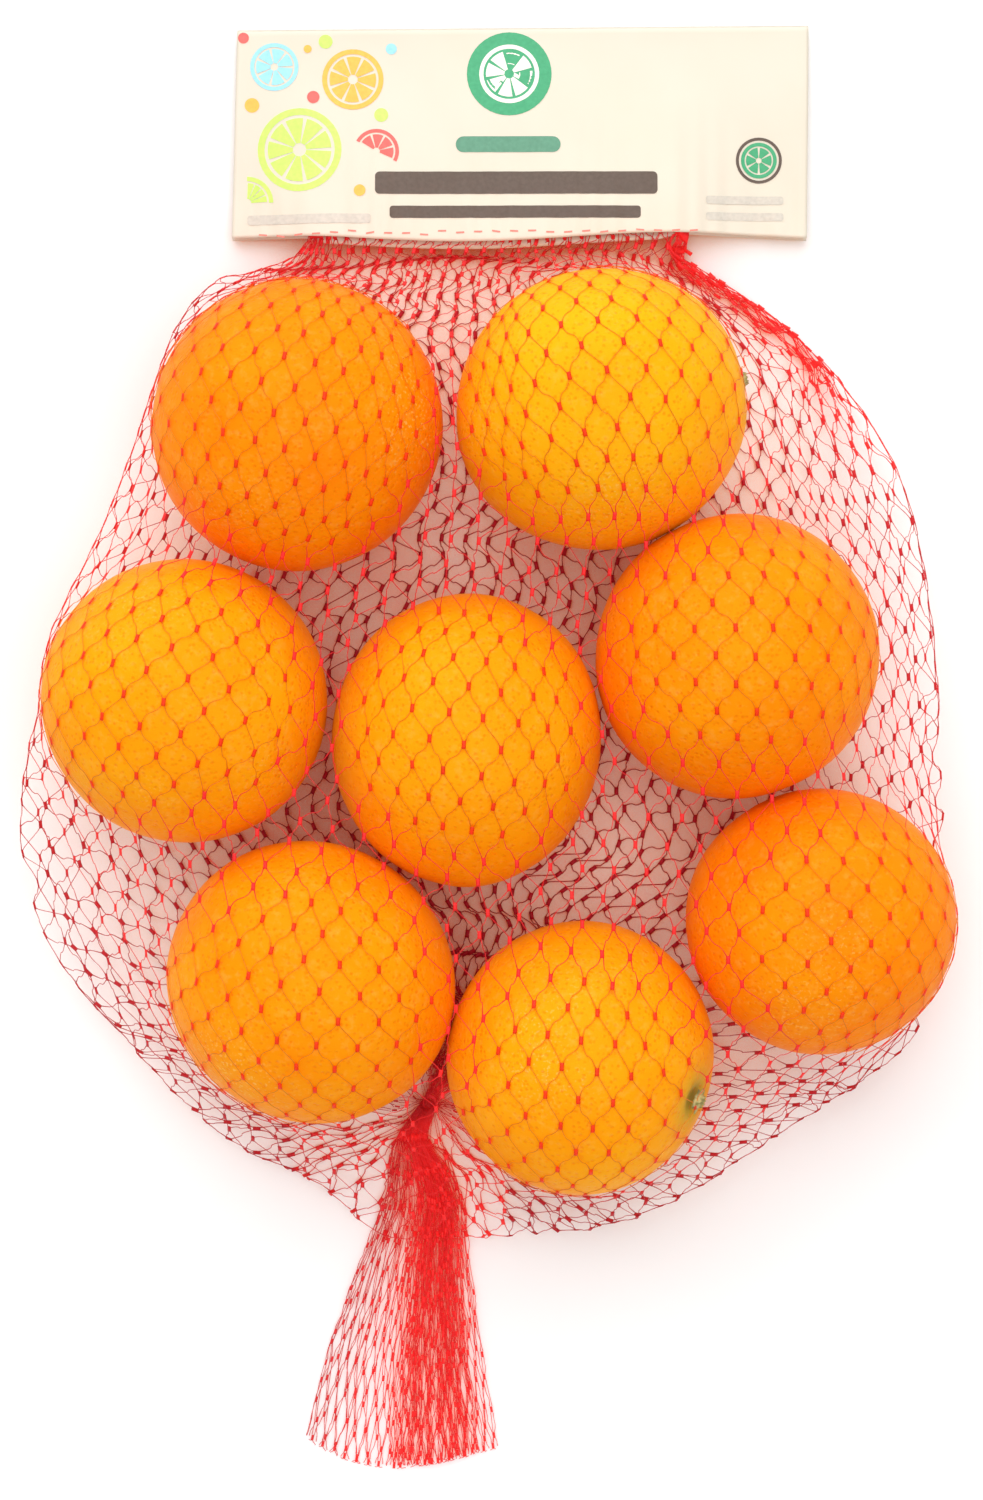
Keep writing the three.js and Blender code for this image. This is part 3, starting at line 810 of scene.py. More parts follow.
def mesh_piece(name, vertices, faces):
    """A smooth-shaded mesh object from arrays, riding on the bag's one body."""
    mesh = bpy.data.meshes.new(name)
    mesh.vertices.add(len(vertices))
    mesh.vertices.foreach_set("co", np.asarray(vertices, dtype=np.float32).ravel())
    count, corners = faces.shape
    mesh.loops.add(count * corners)
    mesh.loops.foreach_set("vertex_index", np.asarray(faces, dtype=np.int32).ravel())
    mesh.polygons.add(count)
    mesh.polygons.foreach_set("loop_start", np.arange(count, dtype=np.int32) * corners)
    mesh.polygons.foreach_set("loop_total", np.full(count, corners, dtype=np.int32))
    mesh.update(calc_edges=True)
    mesh.validate()
    mesh.polygons.foreach_set("use_smooth", np.ones(len(mesh.polygons), dtype=bool))
    piece = bpy.data.objects.new(name, mesh)
    bpy.context.collection.objects.link(piece)
    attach(piece, "root")
    return piece


# Materials


def new_material(name):
    """A material with its node tree and its shader."""
    material = bpy.data.materials.new(name)
    material.use_nodes = True
    return material, material.node_tree, material.node_tree.nodes["Principled BSDF"]


def add_node(tree, kind, **values):
    """A node with some of its sockets or settings given."""
    node = tree.nodes.new(kind)
    for key, value in values.items():
        if key in node.inputs:
            node.inputs[key].default_value = value
        else:
            setattr(node, key, value)
    return node


def object_place(tree):
    """The place on the object, in metres."""
    return tree.nodes.new("ShaderNodeTexCoord").outputs["Object"]


def texture(tree, kind, place, output="Fac", **values):
    """One of the procedural textures over a place, with its scale and detail given."""
    node = add_node(tree, kind, **values)
    tree.links.new(place, node.inputs["Vector"])
    return node.outputs[output]


def noise_over(tree, place, scale, detail, **values):
    """Cloudy noise over a place."""
    return texture(tree, "ShaderNodeTexNoise", place, Scale=scale, Detail=detail, **values)


def ramp(tree, fac, stops):
    """Colours that follow a value, each at its own place."""
    node = tree.nodes.new("ShaderNodeValToRGB")
    elements = node.color_ramp.elements
    while len(elements) < len(stops):
        elements.new(0.5)
    for element, (place, colour) in zip(elements, stops):
        element.position = place
        element.color = tuple(colour) + (1.0,)
    tree.links.new(fac, node.inputs["Fac"])
    return node.outputs["Color"]


def fade(tree, fac, low, high, start=0.0, end=1.0):
    """A grey that runs from start to end as a value runs from low to high."""
    return ramp(tree, fac, ((low, (start,) * 3), (high, (end,) * 3)))


def mixed(tree, fac, a, b, blend="MIX"):
    """One colour over another by a share; each may be a socket, a number or a colour."""
    node = tree.nodes.new("ShaderNodeMix")
    node.data_type = "RGBA"
    node.blend_type = blend
    for socket, value in (("Factor", fac), ("A", a), ("B", b)):
        named = [s for s in node.inputs if s.name == socket and s.enabled]
        target = next(s for s in named if s.type in ("VALUE", "RGBA"))
        if isinstance(value, (float, int)):
            target.default_value = value
        elif isinstance(value, tuple):
            target.default_value = value + (1.0,)
        else:
            tree.links.new(value, target)
    return next(s for s in node.outputs if s.enabled)


def add_bump(tree, shader, height, strength, distance):
    """Small relief on a surface, from a texture."""
    bump = add_node(tree, "ShaderNodeBump", Strength=strength, Distance=distance)
    tree.links.new(height, bump.inputs["Height"])
    tree.links.new(bump.outputs["Normal"], shader.inputs["Normal"])


def peel_material(look):
    """Waxy peel: each orange's own hue, paler towards the top as painted light, blotches, fine pores with
    painted shade in their pits, with green where the mesh says.
    """
    material, tree, shader = new_material("orange_peel")
    place = object_place(tree)
    tint = add_node(tree, "ShaderNodeAttribute", attribute_name="ripeness")
    green = add_node(tree, "ShaderNodeAttribute", attribute_name="greenness")
    blotch = noise_over(tree, place, 38.0, 3.0, Roughness=0.55)
    ripe = add_node(tree, "ShaderNodeMath", operation="MULTIPLY_ADD")
    tree.links.new(blotch, ripe.inputs[0])
    ripe.inputs[1].default_value = 0.35
    tree.links.new(tint.outputs["Fac"], ripe.inputs[2])
    colour = ramp(tree, ripe.outputs[0], ((0.15, look.deep), (0.55, look.middle), (1.0, look.pale)))
    colour = mixed(tree, green.outputs["Fac"], colour, tuple(look.green))
    pores = texture(tree, "ShaderNodeTexVoronoi", place, "Distance", Scale=640.0, Randomness=0.9)
    # Painted shade: the pits of the pores are coloured deeper orange.
    pore_pits_and_shade = fade(tree, pores, 0.05, 0.40)
    colour = mixed(tree, pore_pits_and_shade, mixed(tree, 0.38, colour, tuple(look.deep)), colour)
    light = fade(tree, noise_over(tree, place, 420.0, 3.0, Roughness=0.6), 0.52, 0.72)
    colour = mixed(tree, light, colour, mixed(tree, 0.14, colour, tuple(look.scuff)))
    worn = fade(tree, noise_over(tree, place, 19.0, 2.0), 0.54, 0.70)
    marks = fade(tree, noise_over(tree, place, 1100.0, 1.0), 0.60, 0.68, end=0.45)
    scuffed = mixed(tree, 1.0, worn, marks, "MULTIPLY")
    colour = mixed(tree, scuffed, colour, tuple(look.scuff))
    tree.links.new(colour, shader.inputs["Base Color"])
    swell = noise_over(tree, place, 230.0, 2.0)
    add_bump(tree, shader, mixed(tree, 0.5, pore_pits_and_shade, swell), 0.6, 0.0006)
    tree.links.new(fade(tree, swell, 0.3, 0.7, 0.34, 0.48), shader.inputs["Roughness"])
    shader.inputs["Specular IOR Level"].default_value = 0.03
    shader.inputs["Subsurface Weight"].default_value = 0.12
    shader.inputs["Subsurface Radius"].default_value = (1.0, 0.35, 0.08)
    shader.inputs["Subsurface Scale"].default_value = 0.003
    return material


def net_material():
    """Thin clear red plastic that lets red light through, with a painted glow where much of it is gathered and
    painted most lit.
    """
    material, tree, shader = new_material("net")
    tint = add_node(tree, "ShaderNodeAttribute", attribute_name="tint").outputs["Color"]
    uneven = fade(tree, noise_over(tree, object_place(tree), 300.0, 2.0), 0.3, 0.7, start=0.85)
    tree.links.new(mixed(tree, 1.0, tint, uneven, "MULTIPLY"), shader.inputs["Base Color"])
    shader.inputs["Roughness"].default_value = 0.4
    shader.inputs["Specular IOR Level"].default_value = 0.3
    clear = add_node(tree, "ShaderNodeBsdfTransparent", Color=NET_CLEAR + (1.0,))
    blend = add_node(tree, "ShaderNodeMixShader", Fac=NET_CLEAR_SHARE)
    tree.links.new(shader.outputs[0], blend.inputs[1])
    tree.links.new(clear.outputs[0], blend.inputs[2])
    tree.links.new(blend.outputs[0], tree.nodes["Material Output"].inputs["Surface"])
    parts = tree.nodes.new("ShaderNodeSeparateColor")
    tree.links.new(tint, parts.inputs["Color"])
    # Painted glow: the most lit red netting gives out light of its own colour.
    painted_glow = add_node(tree, "ShaderNodeMapRange")
    painted_glow.inputs["From Min"].default_value = PAINTED_GLOW_FROM
    painted_glow.inputs["To Max"].default_value = PAINTED_GLOW_MOST
    tree.links.new(parts.outputs["Red"], painted_glow.inputs["Value"])
    tree.links.new(tint, shader.inputs["Emission Color"])
    tree.links.new(painted_glow.outputs["Result"], shader.inputs["Emission Strength"])
    return material


def film_material(look):
    """Cream printed film with a faint grain and soft creases."""
    material, tree, shader = new_material("label_film")
    place = object_place(tree)
    cloud = noise_over(tree, place, 22.0, 4.0)
    colour = ramp(tree, cloud, ((0.35, look.film_shade), (0.65, look.film)))
    tree.links.new(colour, shader.inputs["Base Color"])
    add_bump(tree, shader, noise_over(tree, place, 60.0, 3.0), 0.2, 0.0006)
    shader.inputs["Roughness"].default_value = 0.42
    return material


def print_material(name, colour):
    """A flat printing ink with a faint unevenness."""
    material, tree, shader = new_material(name)
    grain = noise_over(tree, object_place(tree), 900.0, 2.0)
    pale = tuple(min(1.0, c * 1.12 + 0.01) for c in colour)
    tree.links.new(ramp(tree, grain, ((0.3, colour), (0.7, pale))), shader.inputs["Base Color"])
    shader.inputs["Roughness"].default_value = 0.45
    return material


def stem_material(look):
    """Dry khaki stem, with painted shade in its hollow and under its rim."""
    material, tree, shader = new_material("stem_button")
    hollow = add_node(tree, "ShaderNodeAttribute", attribute_name="hollow")
    grain = noise_over(tree, object_place(tree), 900.0, 4.0)
    colour = ramp(tree, grain, ((0.35, look.stem_mid), (0.6, look.stem_pale)))
    colour = mixed(tree, hollow.outputs["Fac"], colour, tuple(look.stem_painted_shade))
    tree.links.new(colour, shader.inputs["Base Color"])
    add_bump(tree, shader, grain, 0.6, 0.0004)
    shader.inputs["Roughness"].default_value = 0.8
    return material


# Sizes and colours that a user would change


def colour_property(name, description, default):
    return bpy.props.FloatVectorProperty(
        name=name, description=description, default=default, subtype="COLOR", size=3, min=0.0, max=1.0
    )


class NetSizes(bpy.types.PropertyGroup):
    columns: bpy.props.IntProperty(name="Columns", description="Meshes round the tube", default=66, min=12)
    rows: bpy.props.IntProperty(name="Rows", description="Rows of joints, from label to knot", default=57)
    tail_rows: bpy.props.IntProperty(name="Tail rows", description="Rows of joints in the tail", default=11)
    strand: bpy.props.FloatProperty(name="Strand", description="Joint to joint in mm, taut", default=9.2)
    shortest: bpy.props.FloatProperty(name="Shortest", description="Joint to joint in mm, slack", default=5.4)
    slack: bpy.props.FloatProperty(
        name="Slack", description="How far strings that run down to the left are drawn together", default=0.93
    )
    tilt: bpy.props.FloatProperty(name="Tilt", description="How far rows drop to the right", default=0.027)
    sweeps: bpy.props.IntProperty(name="Sweeps", description="Sweeps of the settling", default=900)
    radius: bpy.props.FloatProperty(name="String radius", description="In millimetres", default=0.108)
    bar_long: bpy.props.FloatProperty(name="Joint length", description="Half, in mm", default=1.05)
    bar_wide: bpy.props.FloatProperty(name="Joint width", description="Half, in mm", default=0.62)
    bar_thick: bpy.props.FloatProperty(name="Joint thickness", description="Half, in mm", default=0.22)


class Colours(bpy.types.PropertyGroup):
    deep: colour_property("Deep peel", "The reddest peel", (0.98, 0.16, 0.001))
    middle: colour_property("Peel", "Most of the peel", (0.99, 0.30, 0.002))
    pale: colour_property("Pale peel", "The yellowest peel", (0.99, 0.45, 0.005))
    scuff: colour_property("Scuffs", "Pale specks on the peel", (1.0, 0.62, 0.16))
    green: colour_property("Green peel", "Peel that hasn't turned", (0.32, 0.33, 0.03))
    stem_painted_shade: colour_property("Stem shade", "The stem button's shade", (0.06, 0.07, 0.015))
    stem_mid: colour_property("Stem", "The stem button", (0.26, 0.22, 0.055))
    stem_pale: colour_property("Stem light", "The stem button's dry edges", (0.62, 0.50, 0.20))
    # The netting's colours: the low ones are painted shade, the free ones painted light, and those on peel are
    # painted with the peel's glow.
    string_painted_shade: colour_property("String, low", "String on the ground", (0.60, 0.018, 0.045))
    string_painted_light: colour_property("String, free", "String hanging free", (0.96, 0.042, 0.045))
    string_painted_peel_glow: colour_property("String on peel", "String lying on an orange", (0.92, 0.33, 0.008))
    joint_painted_shade: colour_property("Joint, low", "Joint on the ground", (0.64, 0.010, 0.035))
    joint_painted_light: colour_property("Joint, free", "Joint hanging free", (1.0, 0.035, 0.035))
    joint_painted_peel_glow: colour_property("Joint on peel", "Joint lying on an orange", (0.95, 0.06, 0.006))
    film: colour_property("Film", "The label's film", (0.80, 0.735, 0.61))
    film_shade: colour_property("Film shade", "The label's film, a shade darker", (0.79, 0.715, 0.58))
    ink_lime: colour_property("Lime ink", "Print", (0.60, 0.86, 0.15))
    ink_orange: colour_property("Orange ink", "Print", (0.95, 0.50, 0.07))
    ink_red: colour_property("Red ink", "Print", (0.90, 0.13, 0.11))
    ink_blue: colour_property("Blue ink", "Print", (0.34, 0.74, 0.90))
    ink_green: colour_property("Green ink", "Print", (0.045, 0.38, 0.17))
    ink_script: colour_property("Soft green ink", "Print", (0.10, 0.30, 0.19))
    ink_brown: colour_property("Brown ink", "Print", (0.10, 0.065, 0.045))
    ink_grey: colour_property("Grey ink", "Print", (0.62, 0.58, 0.50))
    ink_cream: colour_property("Cream ink", "Print", (0.93, 0.90, 0.80))
    weld: colour_property("Weld", "Netting through the film's edge", (0.80, 0.22, 0.17))
    floor: colour_property("Floor", "The ground under the bag", (0.98, 0.98, 0.98))


# Fruit


def even_ball():
    """The points and triangles of a ball of radius 1."""
    mesh = bpy.data.meshes.new("ball")
    ball = bmesh.new()
    bmesh.ops.create_icosphere(ball, subdivisions=BALL_LEVEL, radius=1.0)
    ball.to_mesh(mesh)
    ball.free()
    flat = np.empty(len(mesh.vertices) * 3)
    mesh.vertices.foreach_get("co", flat)
    faces = np.array([tuple(p.vertices) for p in mesh.polygons])
    bpy.data.meshes.remove(mesh)
    return unit(flat.reshape(-1, 3)), faces


def turn_in_plan(points, degrees):
    """Points or a direction, turned in plan."""
    c, s = math.cos(math.radians(degrees)), math.sin(math.radians(degrees))
    x, y, z = np.moveaxis(np.asarray(points), -1, 0)
    return np.stack([x * c - y * s, x * s + y * c, z], -1)


def stem_direction(number, draw):
    """Which way each orange's stem points, in its own turned frame: down where it doesn't show."""
    if number in STEMS:
        return unit(turn_in_plan(STEMS[number], -FRUIT[number][4]))
    return unit(np.array((draw.normal(), draw.normal(), STEM_DOWN)))


def orange_points(sphere, number, draw):
    """One orange in plan millimetres: an uneven ellipsoid with a stem dimple, and how it faces and swells."""
    x, y, long, short, turn = FRUIT[number]
    half = (long + short) / 2
    stem = stem_direction(number, draw)
    offset = Vector(draw.normal(0, 20, 3))
    swell = np.array([noise.noise(Vector(p) * SWELLS + offset) for p in sphere])
    pebble = np.array([noise.noise(Vector(p) * PEBBLES + offset) for p in sphere])
    facing = sphere @ stem
    pit = PIT_DEEP * np.exp(-(((1 - facing) / PIT_WIDE) ** 2) * 0.5)
    dimple = pit + DIMPLE_DEEP * np.exp(-((1 - facing) / DIMPLE_WIDE))
    grow = SWELL_HIGH * swell + PEBBLE_HIGH * pebble - dimple
    local = sphere * (np.array([long, short, half]) + grow[:, None])
    return turn_in_plan(local, turn) + np.array([x, y, half + FRUIT_LIFT]), facing, swell


def stem_button(number, draw):
    """A stem's hollow scar in its ragged star, on one orange: points, faces, and the painted shade of each
    point, in its hollow and under its rim.
    """
    x, y, long, short = FRUIT[number][:4]
    half = (long + short) / 2
    way = unit(np.array(STEMS[number]))
    spread = 1 / math.sqrt((way[0] / long) ** 2 + (way[1] / short) ** 2 + (way[2] / half) ** 2)
    foot = np.array([x, y, half + FRUIT_LIFT]) + way * (spread - BUTTON_SUNK)
    side = unit(np.cross(way, (0.0, 0.0, 1.0)))
    up = np.cross(side, way)
    share = np.linspace(BUTTON_FROM, 1, BUTTON_RINGS)[:, None]
    angle = np.linspace(0, 2 * math.pi, BUTTON_SPOKES)[None, :]
    lobes = np.cos(LEAVES * angle + number)
    ragged = LEAF_RAGGED * lobes + TOOTH * np.cos(TEETH * angle) + FINE_TOOTH * np.cos(FINE_TEETH * angle)
    radius = BUTTON_WIDE * share * (1 + ragged * share**2)
    lumps = 1 + SCAR_UNEVEN * np.cos(SCAR_LUMPS * angle + 1)
    scar = SCAR_HIGH * np.exp(-(((share - SCAR_AT) / SCAR_WIDE) ** 2)) * lumps
    leaf = LEAF_HIGH * (1 - share) ** LEAF_POWER + LEAF_CURL * lobes * share
    height = BUTTON_HIGH + scar + leaf - HOLLOW_DEEP * np.exp(-((share / HOLLOW_WIDE) ** 2))
    place = foot + (radius * np.cos(angle))[..., None] * side + (radius * np.sin(angle))[..., None] * up
    place = place + height[..., None] * way + draw.normal(0, CRUMBS, place.shape)
    place[:, -1] = place[:, 0]
    # Painted shade: dark in the hollow and under the rim.
    hollow = np.exp(-((share / SHADE_IN_HOLLOW) ** 2)) + SHADE_UNDER_RIM * smoothstep(share, SHADE_UNDER_RIM_FROM, 1.0)
    hollow = hollow * np.ones_like(angle)
    return place.reshape(-1, 3), sheet_quads(*hollow.shape), hollow.ravel()


# Operators


class OBJECT_OT_add_fruit(bpy.types.Operator):
    """Adds the eight oranges"""

    bl_idname = "netbag.add_fruit"
    bl_label = "Oranges"

    def execute(self, context):
        draw = np.random.default_rng(SEED + 1)
        sphere, triangles = even_ball()
        parts, ripe, green = [], [], []
        for number in range(len(FRUIT)):
            place, facing, swell = orange_points(sphere, number, draw)
            parts.append((place, triangles))
            middle = place.mean(0)
            above = (place[:, 2] - middle[2]) / ORANGE_HALF
            # Painted light: the peel is paler towards the top.
            ripe.append(RIPENESS[number] + RIPE_SWELL * swell + PAINTED_LIGHT_ABOVE * above)
            by_stem = GREEN_STEM * np.exp(-((1 - facing) / GREEN_WIDE)) * (number in STEMS)
            leftward = np.clip((middle[0] - place[:, 0]) / GREENISH_HALF - GREEN_FROM, 0, 1) / GREEN_SPAN
            green.append(np.clip(by_stem + GREEN_SIDE * leftward * (number == GREENISH), 0, 1))
        vertices, faces = joined(parts)
        piece = mesh_piece("oranges", shifted(vertices), faces)
        keep_values(piece.data, "ripeness", np.concatenate(ripe))
        keep_values(piece.data, "greenness", np.concatenate(green))
        piece.data.materials.append(peel_material(context.scene.netbag_colours))
        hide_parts("net_bag")
        return {"FINISHED"}


class OBJECT_OT_add_stems(bpy.types.Operator):
    """Adds the stem buttons of the two oranges that show theirs"""

    bl_idname = "netbag.add_stems"
    bl_label = "Stem buttons"

    def execute(self, context):
        draw = np.random.default_rng(SEED + 4)
        parts = [stem_button(number, draw) for number in STEMS]
        vertices, quads = joined(parts)
        piece = mesh_piece("stem_buttons", shifted(vertices), quads)
        keep_values(piece.data, "hollow", np.concatenate([part[2] for part in parts]))
        piece.data.materials.append(stem_material(context.scene.netbag_colours))
        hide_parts("net_bag")
        return {"FINISHED"}


class OBJECT_OT_add_netting(bpy.types.Operator):
    """Adds the settled netting: the strings and joints of both layers, and the tail"""

    bl_idname = "netbag.add_netting"
    bl_label = "Netting"

    def execute(self, context):
        sizes = context.scene.netbag_sizes
        look = context.scene.netbag_colours
        bag = Bag()
        draw = np.random.default_rng(SEED + 2)
        body = settle(bag, sizes)
        tail = tail_joints(sizes.rows, sizes.columns, sizes.tail_rows, draw)
        body[:-1] += self.tangle(body[:-1], draw)
        body = bag.keep_in(out_of_fruit(body.reshape(-1, 3), JOINT_CLEAR)).reshape(body.shape)
        joints = np.concatenate([body, tail])
        frames = joint_frames(joints)
        curves, out, row, column = self.strings(bag, sizes, joints, frames, draw)
        u = (column + 0.5 * (row % 2)) / sizes.columns
        kinds = (
            ("net_strings_front", (row < sizes.rows) & (u < 0.5)),
            ("net_strings_back", (row < sizes.rows) & (u >= 0.5)),
            ("net_strings_tail", row >= sizes.rows),
        )
        material = net_material()
        for name, chosen in kinds:
            slim = gathered_size(curves[chosen], (row[chosen] >= sizes.rows)[:, None, None], *STRING_THIN)
            vertices, quads = tubes(curves[chosen], out[chosen], sizes.radius * slim)
            # Strings take painted light and shade, and the peel's painted glow.
            tint = net_light_and_shade(vertices, look.string_painted_shade, look.string_painted_light, look.string_painted_peel_glow)
            self.finish_piece(name, vertices, quads, tint, material)
        shown = slice(1, -1)
        in_tail = (np.arange(len(joints)) > sizes.rows)[shown, None, None]
        slim = gathered_size(joints[shown], in_tail, *BAR_THIN).reshape(-1, 1)
        long = sizes.bar_long * (BAR_SHORT + (1 - BAR_SHORT) * slim)
        wide, thick = sizes.bar_wide * slim, sizes.bar_thick * slim
        vertices, quads = joint_bars(joints[shown], [f[shown] for f in frames], long, wide, thick)
        vertices[:, 2] = np.maximum(vertices[:, 2], BAR_LOWEST)
        # Joints take painted light and shade, and the peel's painted glow.
        tint = net_light_and_shade(vertices, look.joint_painted_shade, look.joint_painted_light, look.joint_painted_peel_glow)
        self.finish_piece("net_joints", vertices, quads, tint, material)
        return {"FINISHED"}

    def strings(self, bag, sizes, joints, frames, draw):
        """Every string's curve, which way is out of the netting there, and its row and column."""
        bar_reach = sizes.bar_long * BAR_END
        start, end, first, last, out, row, column, sign = string_ends(
            joints, frames, bar_reach, sizes.bar_wide * BAR_SIDE
        )
        span = np.linalg.norm(end - start, axis=1, keepdims=True)
        chord = (end - start) / span
        bend = draw.normal(0, BEND, (len(start), 2))
        side = np.cross(out, chord)
        on_peel = (peel_distance((start + end) / 2) < NEAR_PEEL)[:, None]
        follow = np.where(on_peel, FOLLOW_PEEL, FOLLOW_SLACK)
        hook = np.where(on_peel, HOOK_PEEL, HOOK_SLACK)
        straight = STRAIGHTENS - follow
        first = unit(first * follow + chord * straight + side * bend[:, :1])
        last = np.where((sign < 0)[:, None], side * hook + chord, last * follow + chord * straight)
        last = unit(last + side * bend[:, 1:])
        in_tail = (row >= sizes.rows - 1)[:, None]
        most = span * np.where(in_tail, LONG_TAIL, np.where(on_peel, LONG_PEEL, LONG_SLACK))
        free = (sizes.strand - 2 * bar_reach) * (1 + draw.normal(0, UNEVEN_FREE, len(start)))[:, None]
        curves = string_curves(start, end, first, last, np.minimum(free, most), CURVE_POINTS)
        curves = bag.keep_in(out_of_fruit(curves.reshape(-1, 3), STRING_CLEAR)).reshape(curves.shape)
        cut = row == row.max()
        curves[cut] = curves[cut, :1] + TAIL_CUT * (curves[cut] - curves[cut, :1])
        return curves, out, row, column

    def tangle(self, joints, draw):
        """How far joints near the knot stray from their even rows."""
        away = np.linalg.norm(joints - np.array(KNOT), axis=-1, keepdims=True)
        stray = draw.normal(0, 1, joints.shape) * np.array(TANGLE_STRAY)
        return stray * smoothstep(away, *TANGLE_NEAR) * (1 - smoothstep(away, *TANGLE_FAR))

    def finish_piece(self, name, vertices, quads, tint, material):
        """One piece of the netting with its colours, painted light and shade among them."""
        piece = mesh_piece(name, shifted(vertices), quads)
        keep_values(piece.data, "tint", np.concatenate([tint, np.ones((len(tint), 1))], 1))
        piece.data.materials.append(material)
        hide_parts("net_bag")


class OBJECT_OT_add_label(bpy.types.Operator):
    """Adds the folded label's film, the welds along its edge, and its print"""

    bl_idname = "netbag.add_label"
    bl_label = "Label"

    def execute(self, context):
        look = context.scene.netbag_colours
        vertices, quads = film_solid()
        film = mesh_piece("label_film", shifted(vertices), quads)
        film.data.materials.append(film_material(look))
        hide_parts("header_label")
        self.add_print(look)
        self.add_welds(look)
        return {"FINISHED"}

    def add_print(self, look):
        """The print's shapes in their inks, each a little above the film and above the one under it."""
        inks = [name for name in look.bl_rna.properties.keys() if name.startswith("ink_")]
        shapes = list(print_shapes())
        flat, quads = joined(shapes)
        layers = [np.full(len(shape[0]), INK_UP + INK_STEP * (k % 3)) for k, shape in enumerate(shapes)]
        heights = film_front(flat[:, 0], flat[:, 1]) + FILM_HALF + np.concatenate(layers)
        piece = mesh_piece("label_print", shifted(np.column_stack([flat, heights])), quads)
        for name in inks:
            piece.data.materials.append(print_material(name, tuple(getattr(look, name))))
        which = np.concatenate([np.full(len(shape[1]), inks.index("ink_" + shape[2])) for shape in shapes])
        piece.data.polygons.foreach_set("material_index", which.astype(np.int32))
        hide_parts("header_label")

    def add_welds(self, look):
        """Short red dashes of netting that show through the film's welded edge."""
        draw = np.random.default_rng(SEED + 3)
        parts = []
        for x in np.arange(WELD_FROM, WELD_TO, WELD_STEP):
            y = LABEL_EDGE + WELD_UP + EDGE_RISE * (x - LABEL_LEFT) / LABEL_WIDE + draw.normal(0, WELD_STRAY)
            lean = draw.normal(0, WELD_LEAN)
            parts.append(band(x - WELD_LONG, x + WELD_LONG, y - WELD_WIDE, y + WELD_WIDE, lean))
        flat, quads = joined(parts)
        heights = film_front(flat[:, 0], flat[:, 1]) + FILM_HALF + WELD_PROUD
        piece = mesh_piece("label_welds", shifted(np.column_stack([flat, heights])), quads)
        piece.data.materials.append(print_material("weld_red", tuple(look.weld)))
        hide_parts("header_label")


def sheet_quads(rows, columns, start=0, turned=False):
    """The faces of a sheet of points laid out in rows and columns."""
    r, c = np.meshgrid(np.arange(rows - 1), np.arange(columns - 1), indexing="ij")
    a = start + r * columns + c
    quads = np.stack([a, a + 1, a + columns + 1, a + columns], -1).reshape(-1, 4)
    return quads[:, ::-1] if turned else quads


def film_face(offset):
    """One skin of the folded film, from its lower edge in front over the fold to its lower edge behind."""
    step = np.linspace(1, -1, 2 * FILM_DOWN + 1)[:, None]
    share = np.linspace(0, 1, FILM_ACROSS + 1)[None, :]
    up = 1 - np.abs(step)
    side = np.sign(step)
    left = LABEL_LEFT + LABEL_LEAN_LEFT * up
    right = LABEL_RIGHT + LABEL_LEAN_RIGHT * up
    x = left + (right - left) * share
    edge = LABEL_EDGE + EDGE_WAVE * np.sin(2 * math.pi * EDGE_WAVES * share + 1) + EDGE_RISE * share
    behind = BEHIND_SHORT + EDGE_BEHIND * smoothstep(x, *BEHIND_LEFT) * (1 - smoothstep(x, *BEHIND_RIGHT))
    edge = edge - behind * (side < 0)
    fold = LABEL_TOP - LABEL_SLOPE * (1 - share) + offset - FILM_HALF
    y = edge + (fold - edge) * up
    front, back = film_front(x, y) + offset, film_back(x, y) - offset
    z = np.where(side > 0, front, np.where(side < 0, back, (front + back) / 2))
    return np.stack([x, y, z], -1)


def film_solid():
    """The film with both its skins and its cut edges."""
    outer, inner = film_face(FILM_HALF), film_face(-FILM_HALF)
    rows, columns = outer.shape[:2]
    count = rows * columns
    number = np.arange(count).reshape(rows, columns)
    quads = [sheet_quads(rows, columns), sheet_quads(rows, columns, count, turned=True)]
    for rim in (number[0], number[-1][::-1], number[:, -1], number[::-1, 0]):
        quads.append(np.stack([rim[1:], rim[:-1], rim[:-1] + count, rim[1:] + count], 1))
    return np.concatenate([outer.reshape(-1, 3), inner.reshape(-1, 3)]), np.concatenate(quads)


def band(x0, x1, y0, y1, lean=0.0, ends=0.0, across=3):
    """A flat bar in plan, leaning and with rounded ends if asked, as points and faces."""
    steps = max(3, int((x1 - x0) / BAND_STEP) + 1)
    xs = np.linspace(x0, x1, steps)
    middle, half, squeeze = (y0 + y1) / 2, (y1 - y0) / 2, 1.0
    if ends:
        cap = ends * (1 - np.cos(np.linspace(0, math.pi / 2, CAP_STEPS)))
        xs = np.concatenate([x0 + cap, np.linspace(x0 + ends, x1 - ends, steps)[1:-1], x1 - cap[::-1]])
        inset = np.clip(np.minimum(xs - x0, x1 - xs) / ends, 0, 1)
        squeeze = 1 - (ends / half) * (1 - np.sqrt(np.clip(1 - (1 - inset) ** 2, CAP_LEAST, 1)))
    level = middle + lean * (xs - (x0 + x1) / 2)
    rows = np.linspace(-1, 1, across + 1)[:, None] * half * squeeze + level
    points = np.stack([np.broadcast_to(xs, rows.shape), rows], -1)
    return points.reshape(-1, 2), sheet_quads(across + 1, len(xs))


